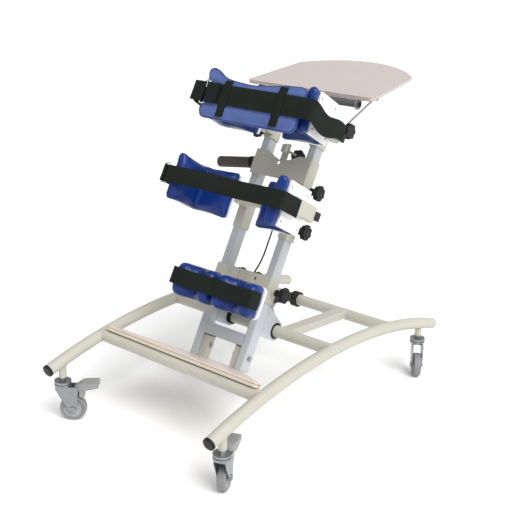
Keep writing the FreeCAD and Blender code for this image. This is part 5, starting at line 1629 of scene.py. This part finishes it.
    def lay(
        self,
        word: str,
        shells: Sequence[Shell],
        side: Side | None = None,
        finish: Finish = WEBBING,
        crease: float = 40,
    ) -> None:
        """Adds a piece of the strap.

        Args:
            word: Its word in the piece's name.
            shells: Its surfaces.
            side: The pad whose half of the strap it is, or None to ride on the left pad.
            finish: Its finish.
            crease: Degrees above which an edge stays sharp.
        """
        strap = f"{self.name}_strap"
        body = f"{self.name}_left" if side is None else None
        made = self.add(f"{strap}_{word}", shells, finish, body, [strap], crease)
        if side is not None:
            self.follow(made, side, -self.strap_front, self.strap.middle)

    def follow(self, strap: bpy.types.Object, side: Side, y: float, z: float) -> None:
        """Bakes half a strap's transform into its mesh; it rides on no body."""
        self.place.point(side.value * 4, y, z)
        self.place.point(side.value * 150, y, z)
        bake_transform(strap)


@dataclass
class HipUnit(SupportUnit):
    """Hip supports with their strap and wire ring.

    Attributes:
        ring: The ring on its left.
        fold: X where the strap folds back behind the ring.
    """

    ring: WireRing = WireRing(-211.0, 16.0, -237.7, 442.0, 492.0)
    fold: float = -192.0

    def build_straps(self) -> None:
        """Lays the strap from the ring on the left round to the right arm."""
        y, out = -self.strap_front, self.arm_out + 1.3
        right = evened(bent([(0, y, 0), (out, y, 0), (out, -160, 0)], 7), 3)
        shells = [self.strap.shell(right, 0.8 * np.sin(right[:, 0] / 40))]
        shells += [self.strap.upright(out + 1.0, end) for end in (-164.0, -169.0)]
        self.lay("right", shells, Side.RIGHT)
        start, end = [(0, y, 0), (self.fold, y, 0)], [(self.fold + 2, -234.5, 0)]
        left = evened(np.concatenate([start, self.ring.hook(1, -90, -180), end]), 2)
        shells = [self.strap.shell(left, 0.8 * np.sin(left[:, 0] / 40))]
        self.lay("left", [*shells, self.strap.upright(self.fold + 12, y - 1.0)], Side.LEFT)
        start, end = [(-out, -138.0, 0), (-214.3, -230, 0)], [(-207.6, -228.0, 0)]
        tail = evened(np.concatenate([start, self.ring.hook(0, 180, 170), end]), 2)
        self.lay("tail", [self.strap.shell(tail)])
        self.lay("ring", [self.ring.shell()], finish=CHROME, crease=180)


@dataclass
class ChestUnit(SupportUnit):
    """Chest supports with the padded belt, its strap and wire ring.

    Attributes:
        belt_left: X of the belt's left end, to the left.
        belt_half: X of its right end.
        belt_low: Its lower edge.
        belt_high: Its upper edge at the left end.
        belt_back: Y of its back, forward.
        belt_front: Y of its front, forward.
        loops: X of the loops over the strap.
        loop_wide: Width of a loop.
        ring: The ring on the strap's left.
        fold: X of the end of the fold before the ring.
    """

    belt_half: float = 172.0
    belt_low: float = 645.0
    belt_high: float = 780.0
    belt_back: float = 228.3
    belt_front: float = 246.0
    loops: tuple[float, ...] = (-82.0, 104.0)
    loop_wide: float = 26.0
    belt_left: float = 158.0
    ring: WireRing = WireRing(-161.0, 16.0, -250.9, 685.0, 743.0)
    fold: float = -104.0

    def share(self, x: np.ndarray | float) -> np.ndarray | float:
        """Share of its height that the belt's upper half keeps at each X.

        The upper edge is highest at the left end, sags in the middle and comes up again to
        the right: a fixed drop, three logistic steps and a bell.
        """
        sag = 4 + 16 * step(x, -112, 14) - 11 * step(x, 85, 25) - 14 * step(x, -128, -9)
        return 1 - (sag + 5 * bell(x, 0, 60)) * 2 / (self.belt_high - self.belt_low)

    def leaned(self, x: np.ndarray, up: np.ndarray) -> np.ndarray:
        """Draws the belt's upper left corner out by the square of its height over the middle."""
        return x - 15 * np.clip(-x / self.belt_left, 0, 1) ** 6 * np.clip(up / 60, 0, 1.2) ** 2

    def belt(self) -> Shell:
        """The padded belt: squared-off ovals carried along X.

        Half height and thickness fall off towards the ends as a power of x, and the front is
        drawn in along two sewn lines and round the binding.
        """
        ends = np.linspace(0.9, 1, 14)
        x = np.concatenate([-ends[::-1], np.linspace(-0.88, 0.88, 80), ends])
        x = np.clip(x, -0.9995, 0.9995)[:, None]
        high, thick = self.belt_high - self.belt_low, self.belt_front - self.belt_back
        half = (self.belt_half + self.belt_left) / 2
        along = x * half + (self.belt_half - self.belt_left) / 2
        near = np.clip((np.abs(x) * half - half + 16) / 16, 0, 1)
        round_off = 16 * (1 - np.sqrt(1 - near**2))
        section = cushion_section(1, 1, 5, 120)
        z = section[None, :, 1] * (high - 2 * round_off)
        y = section[None, :, 0] * thick * (0.35 + 0.65 * (1 - np.abs(x) ** 24) ** 0.5)
        y = y * (1 - 0.35 * (2 * z / high) ** 4)
        groove = 2.6 * (bell(z, -30, 3.5) + bell(z, 34, 3.5))
        groove = groove + 1.6 * bell(np.abs(z), high / 2 - 9, 2.5)
        puff = 0.6 * np.sin(x * 9) * np.cos(z / 30)
        y = y + np.where(y < 0, groove + puff, 0) - (self.belt_back + self.belt_front) / 2
        wide = self.leaned(np.repeat(along, y.shape[1], 1), z)
        z = np.where(z > 0, z * self.share(along), z) + (self.belt_low + self.belt_high) / 2
        return surface(np.stack([wide, y, z], -1))

    def belt_edge(self) -> Shell:
        """Binding sewn round the belt: a flat tape carried round its outline."""
        wide, high = self.belt_half + self.belt_left, self.belt_high - self.belt_low
        flat = bar_section(wide - 1.5, high - 1.0, 16, 10)
        depth = -(self.belt_back + self.belt_front) / 2
        path = upright(flat, (self.belt_half - self.belt_left) / 2, depth, 0)
        path = evened(np.concatenate([path, path[:1]]), 4)[:-1]
        up = path[:, 2]
        path[:, 0] = self.leaned(path[:, 0], up)
        path[:, 2] = np.where(up > 0, up * self.share(path[:, 0]), up)
        path[:, 2] += (self.belt_low + self.belt_high) / 2
        tape = carried(path, bar_section(4.0, 9.0, 1.9, 3), (0, 1, 0), ring=True)
        return surface(tape, Wrap.RING)

    def belt_loop(self, x: float) -> Shell:
        """Webbing down the belt's front that stands out over the strap, by a soft step in z."""
        core, half = (self.belt_high + self.belt_low) / 2, (self.belt_high - self.belt_low) / 2 - 6
        z = np.linspace(core + half * self.share(x), core - half, 60)
        over = step(np.abs(z - self.strap.middle), self.strap.half + 5, -1.8)
        path = np.stack([0 * z + x, -self.belt_front - 0.2 - 3.4 * over, z], -1)
        return surface(carried(path, bar_section(1.6, self.loop_wide, 0.7, 2), (1, 0, 0)))

    def build_straps(self) -> None:
        """Builds the belt and lays the strap over it, through the ring."""
        unit, nodes = "chest_unit", ["chest_belt"]
        belt = self.add("chest_belt_pad", [self.belt()], NYLON, unit, nodes, 75)
        self.add("chest_belt_binding", [self.belt_edge()], BINDING, unit, nodes, 75)
        for word, x in zip(("left", "right"), self.loops):
            self.add(f"chest_belt_loop_{word}", [self.belt_loop(x)], WEBBING, unit, nodes)
        y, out = -self.strap_front, self.arm_out + 3 + 1.3
        right = evened(bent([(0, y, 0), (out, y, 0), (out, -68, 0)], 13), 3)
        ahead = right[:, 1]
        right[:, 0] += 1.2 * np.clip((ahead + 236) / 40, 0, 1) * (1 + np.sin(ahead / 26))
        back = np.clip((ahead - y) / (-68 - y), 0, 1)
        droop = 14 * np.sin(np.pi * np.clip(back * 1.15, 0, 1)) ** 2
        self.lay("right", [self.strap.shell(right, droop, 1 - 0.25 * back**3)], Side.RIGHT)
        start, end = [(0, y, 0), (-142.0, y, 0)], [(self.fold, -254.0, 0)]
        left = evened(np.concatenate([start, self.ring.hook(1, 90, 180), end]), 2)
        stitches = [self.strap.upright(self.fold - inset, -255.1, 4.0) for inset in (8.0, 20.0)]
        self.lay("left", [self.strap.shell(left), *stitches], Side.LEFT)
        tail = bent([(-out, -110, 0), (-197.0, -222, 0), (-189.0, y, 0), (-165.0, y, 0)], 6)
        tail = np.concatenate([tail, self.ring.hook(0, 90, -180), [(-196.0, -253.6, 0)]])
        self.lay("tail", [self.strap.shell(evened(tail, 2))])
        self.lay("ring", [self.ring.shell()], finish=CHROME, crease=180)


@dataclass
class HandleUnit(Assembly):
    """Notched bracket with its knobs, the release lever and its cable.

    Attributes:
        cable_top: Where the cable leaves its guide.
        cable_turn: Where it turns towards the spring.
        cable_end: Where it meets the spring's head.
        cable: Radius of its sheath.
    """

    cable_top: tuple[float, float, float] = (0.0, 62.0, 589.7)
    cable_turn: tuple[float, float, float] = (0.0, 62.0, 300.0)
    cable_end: tuple[float, float, float] = (-47.6, 29.6, 181.4)
    cable: float = 2.5

    def build(self) -> None:
        """Builds the unit."""
        self.keep("handle_bracket", CREAM, 0.7)
        ClampKnob(
            node="handle_clamp_knob", body="handle_clamp", spot=(111.6, 20, 553), stud=12
        ).build()
        ClampKnob(
            node="handle_rear_knob", body="handle_rear_clamp", knob=StarKnob(8.0), way=Facing.Y,
            spot=(0, 50, 654), stud=50,
        ).build()
        self.keep("release_lever", GRIP_FOAM, 0.6, [Other("bar", (-170, 40, 600), BLACK, 0.6)])
        path = bent([self.cable_top, self.cable_turn, self.cable_end], 60, 12)
        path = evened(path, 5)
        sheath = tube(path, self.cable, (0, 1, 0.2), 14)
        made = self.add("release_cable_sheath", [sheath], BLACK, None, ["release_cable"], crease=60)
        self.place.point(*self.cable_turn)
        self.place.point(*self.cable_top)
        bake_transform(made)
        x, y, z = self.cable_top
        sleeve = [
            (2.4, 0), (3.8, 0), (4.2, -0.8), (4.2, -9),
            (3.4, -10), (3.4, -20), (2.9, -21), (2.4, -21),
        ]
        ferrule = turned(sleeve, 24, closed=True).at(x, y, z)
        self.add("release_cable_ferrule", [ferrule], ZINC, "handle_unit", crease=45)


@dataclass
class Studio:
    """A pale floor, soft lights and the camera at the photograph's angle.

    Attributes:
        seat: Where the camera stands, in millimetres.
        yaw: Degrees that it looks left of +Y.
        pitch: Degrees that it looks down.
        roll: Degrees that it leans.
        lens: Focal length for a 36 mm sensor.
        sky: Strength of the light from all round, on the dark side and on the bright side.
        bright_way: Direction of the bright side.
    """

    seat: tuple[float, float, float] = (1585.0, -2080.0, 1317.0)
    yaw: float = 37.64
    pitch: float = 18.50
    roll: float = 2.44
    lens: float = 66.31
    sky: tuple[float, float] = (0.22, 0.85)
    bright_way: tuple[float, float, float] = (0.75, 0.6, 0.28)

    def camera(self) -> None:
        """Sets the camera: its axes are the roll of the level right and up directions."""
        yaw, pitch, roll = (math.radians(v) for v in (self.yaw, self.pitch, self.roll))
        flat = math.cos(pitch)
        ahead = Vector((-math.sin(yaw) * flat, math.cos(yaw) * flat, -math.sin(pitch)))
        level = Vector((math.cos(yaw), math.sin(yaw), 0))
        over = level.cross(ahead)
        right = math.cos(roll) * level + math.sin(roll) * over
        up = -math.sin(roll) * level + math.cos(roll) * over
        data = bpy.data.cameras.new("camera")
        data.lens = self.lens
        data.sensor_width = 36
        data.clip_end = 50
        camera = bpy.data.objects.new("camera", data)
        turn = Matrix((right, up, -ahead)).transposed().to_4x4()
        camera.matrix_world = Matrix.Translation(Vector(self.seat) * MM) @ turn
        bpy.context.scene.collection.objects.link(camera)
        bpy.context.scene.camera = camera

    def sun(self, name: str, way: Sequence[float], strength: float, spread: float) -> None:
        """Adds a wide soft light that falls evenly on the whole floor.

        Args:
            name: Its name.
            way: Direction from the table to the light.
            strength: Its strength.
            spread: Degrees that it spans in the sky.
        """
        data = bpy.data.lights.new(name, "SUN")
        data.energy = strength
        data.angle = math.radians(spread)
        lamp = bpy.data.objects.new(name, data)
        lamp.matrix_world = (-Vector(way)).to_track_quat("-Z", "Y").to_matrix().to_4x4()
        bpy.context.scene.collection.objects.link(lamp)

    def build(self) -> None:
        """Builds floor, light and camera."""
        floor_z = cad_box[0][2] / MM - 0.1
        half = 9000.0
        corners = np.array([[[-half, -half, floor_z], [-half, half, floor_z]],
                            [[half, -half, floor_z], [half, half, floor_z]]])
        paint = Paint("pale_floor")
        here = paint.here()
        clouds = paint.noise(here, 1.5, 3, 0.5)
        paint.finish(paint.blend(clouds, tone(250, 250, 250), tone(254, 254, 254)), 0.8)
        mesh = bpy.data.meshes.new("floor")
        flat = corners.reshape(-1, 3) * MM
        mesh.from_pydata(flat.tolist(), [], [[0, 2, 3, 1]])
        mesh.materials.append(paint.material)
        floor = bpy.data.objects.new("floor", mesh)
        bpy.context.scene.collection.objects.link(floor)
        world = bpy.data.worlds.new("studio")
        world.use_nodes = True
        nodes, links = world.node_tree.nodes, world.node_tree.links
        around, lit = nodes.new("ShaderNodeTexCoord"), nodes.new("ShaderNodeVectorMath")
        rise, seen = nodes.new("ShaderNodeMapRange"), nodes.new("ShaderNodeLightPath")
        backdrop, choice = nodes.new("ShaderNodeBackground"), nodes.new("ShaderNodeMixShader")
        lit.operation, rise.interpolation_type = "DOT_PRODUCT", "SMOOTHSTEP"
        lit.inputs[1].default_value = self.bright_way
        sockets = ("From Min", "From Max", "To Min", "To Max")
        for socket, number in zip(sockets, (-0.5, 0.7, *self.sky)):
            rise.inputs[socket].default_value = number
        links.new(around.outputs["Generated"], lit.inputs[0])
        links.new(lit.outputs["Value"], rise.inputs["Value"])
        links.new(rise.outputs[0], nodes["Background"].inputs["Strength"])
        nodes["Background"].inputs["Color"].default_value = (1, 1, 1, 1)
        backdrop.inputs["Color"].default_value = (1, 1, 1, 1)
        links.new(seen.outputs["Is Camera Ray"], choice.inputs["Fac"])
        links.new(nodes["Background"].outputs[0], choice.inputs[1])
        links.new(backdrop.outputs[0], choice.inputs[2])
        links.new(choice.outputs[0], nodes["World Output"].inputs["Surface"])
        bpy.context.scene.world = world
        bpy.context.scene.view_settings.view_transform = "Standard"
        self.sun("key_light", (0.8, -0.25, 1.0), 2.7, 45)
        self.sun("fill_light", (-0.6, -0.5, 0.7), 0.5, 70)
        self.sun("front_light", (-0.1, -1.0, 0.12), 0.3, 50)
        self.camera()


def main() -> None:
    """Builds every group of the table in order, then the studio around it."""
    logging.basicConfig(level=logging.INFO, format="%(message)s")
    casters = [
        Caster(Place(origin=(-295, -505, 0), swing=37.7), "front_left", True),
        Caster(Place(origin=(295, -505, 0), swing=112.5), "front_right", True),
        Caster(Place(origin=(-295, 472, 0), swing=-127.0), "rear_left"),
        Caster(Place(origin=(295, 472, 0), swing=-53.0), "rear_right"),
    ]
    chest = ChestUnit(
        name="chest", low=655.0, high=790.0, board=190.0, leg_back=87.0, leg_inner=40.0,
        wing_end=228.0, tube_mid=704.0, knob_spot=(-111.6, 20, 702),
        knob_way=Facing.MINUS_X, strap=Strap(685.0, 743.0), strap_front=247.6,
    )
    mast = Carried(kept={
        "mast_rail_left": (SILVER, 0.35), "mast_rail_right": (SILVER, 0.35),
        "mast_crossbar": (SILVER, 0.8), "pivot_bearings": (BLACK, 0.6),
        "footboard": (FOOT_PLY, 1.6), "footboard_legs": (CREAM, 0.5), "leg_plugs": (BLACK, 0.5),
        "mast_bolts": (ZINC, 0.5), "tray_hinge_tube": (DARK_GREY, 0.6),
        "gas_cylinder": (BLACK, 0.6), "gas_rod": (ZINC, 0.4),
    })
    tray = Carried(TRAY, {
        "tray_board": (TRAY_PLY, 1.8), "tray_bracket": (ZINC, 0.6), "tray_strut": (CHROME, 0.4),
        "strut_eye": (ZINC, 0.5), "strut_knob": (BLACK, 0.6),
    })
    groups: list[Assembly] = [
        BaseFrame(), *casters, mast, KneeUnit(), HipUnit(), chest, HandleUnit(), tray,
    ]
    for group in groups:
        group.build()
        log.info("built %s", type(group).__name__)
    Studio().build()
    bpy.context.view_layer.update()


if __name__ == "__main__":
    main()
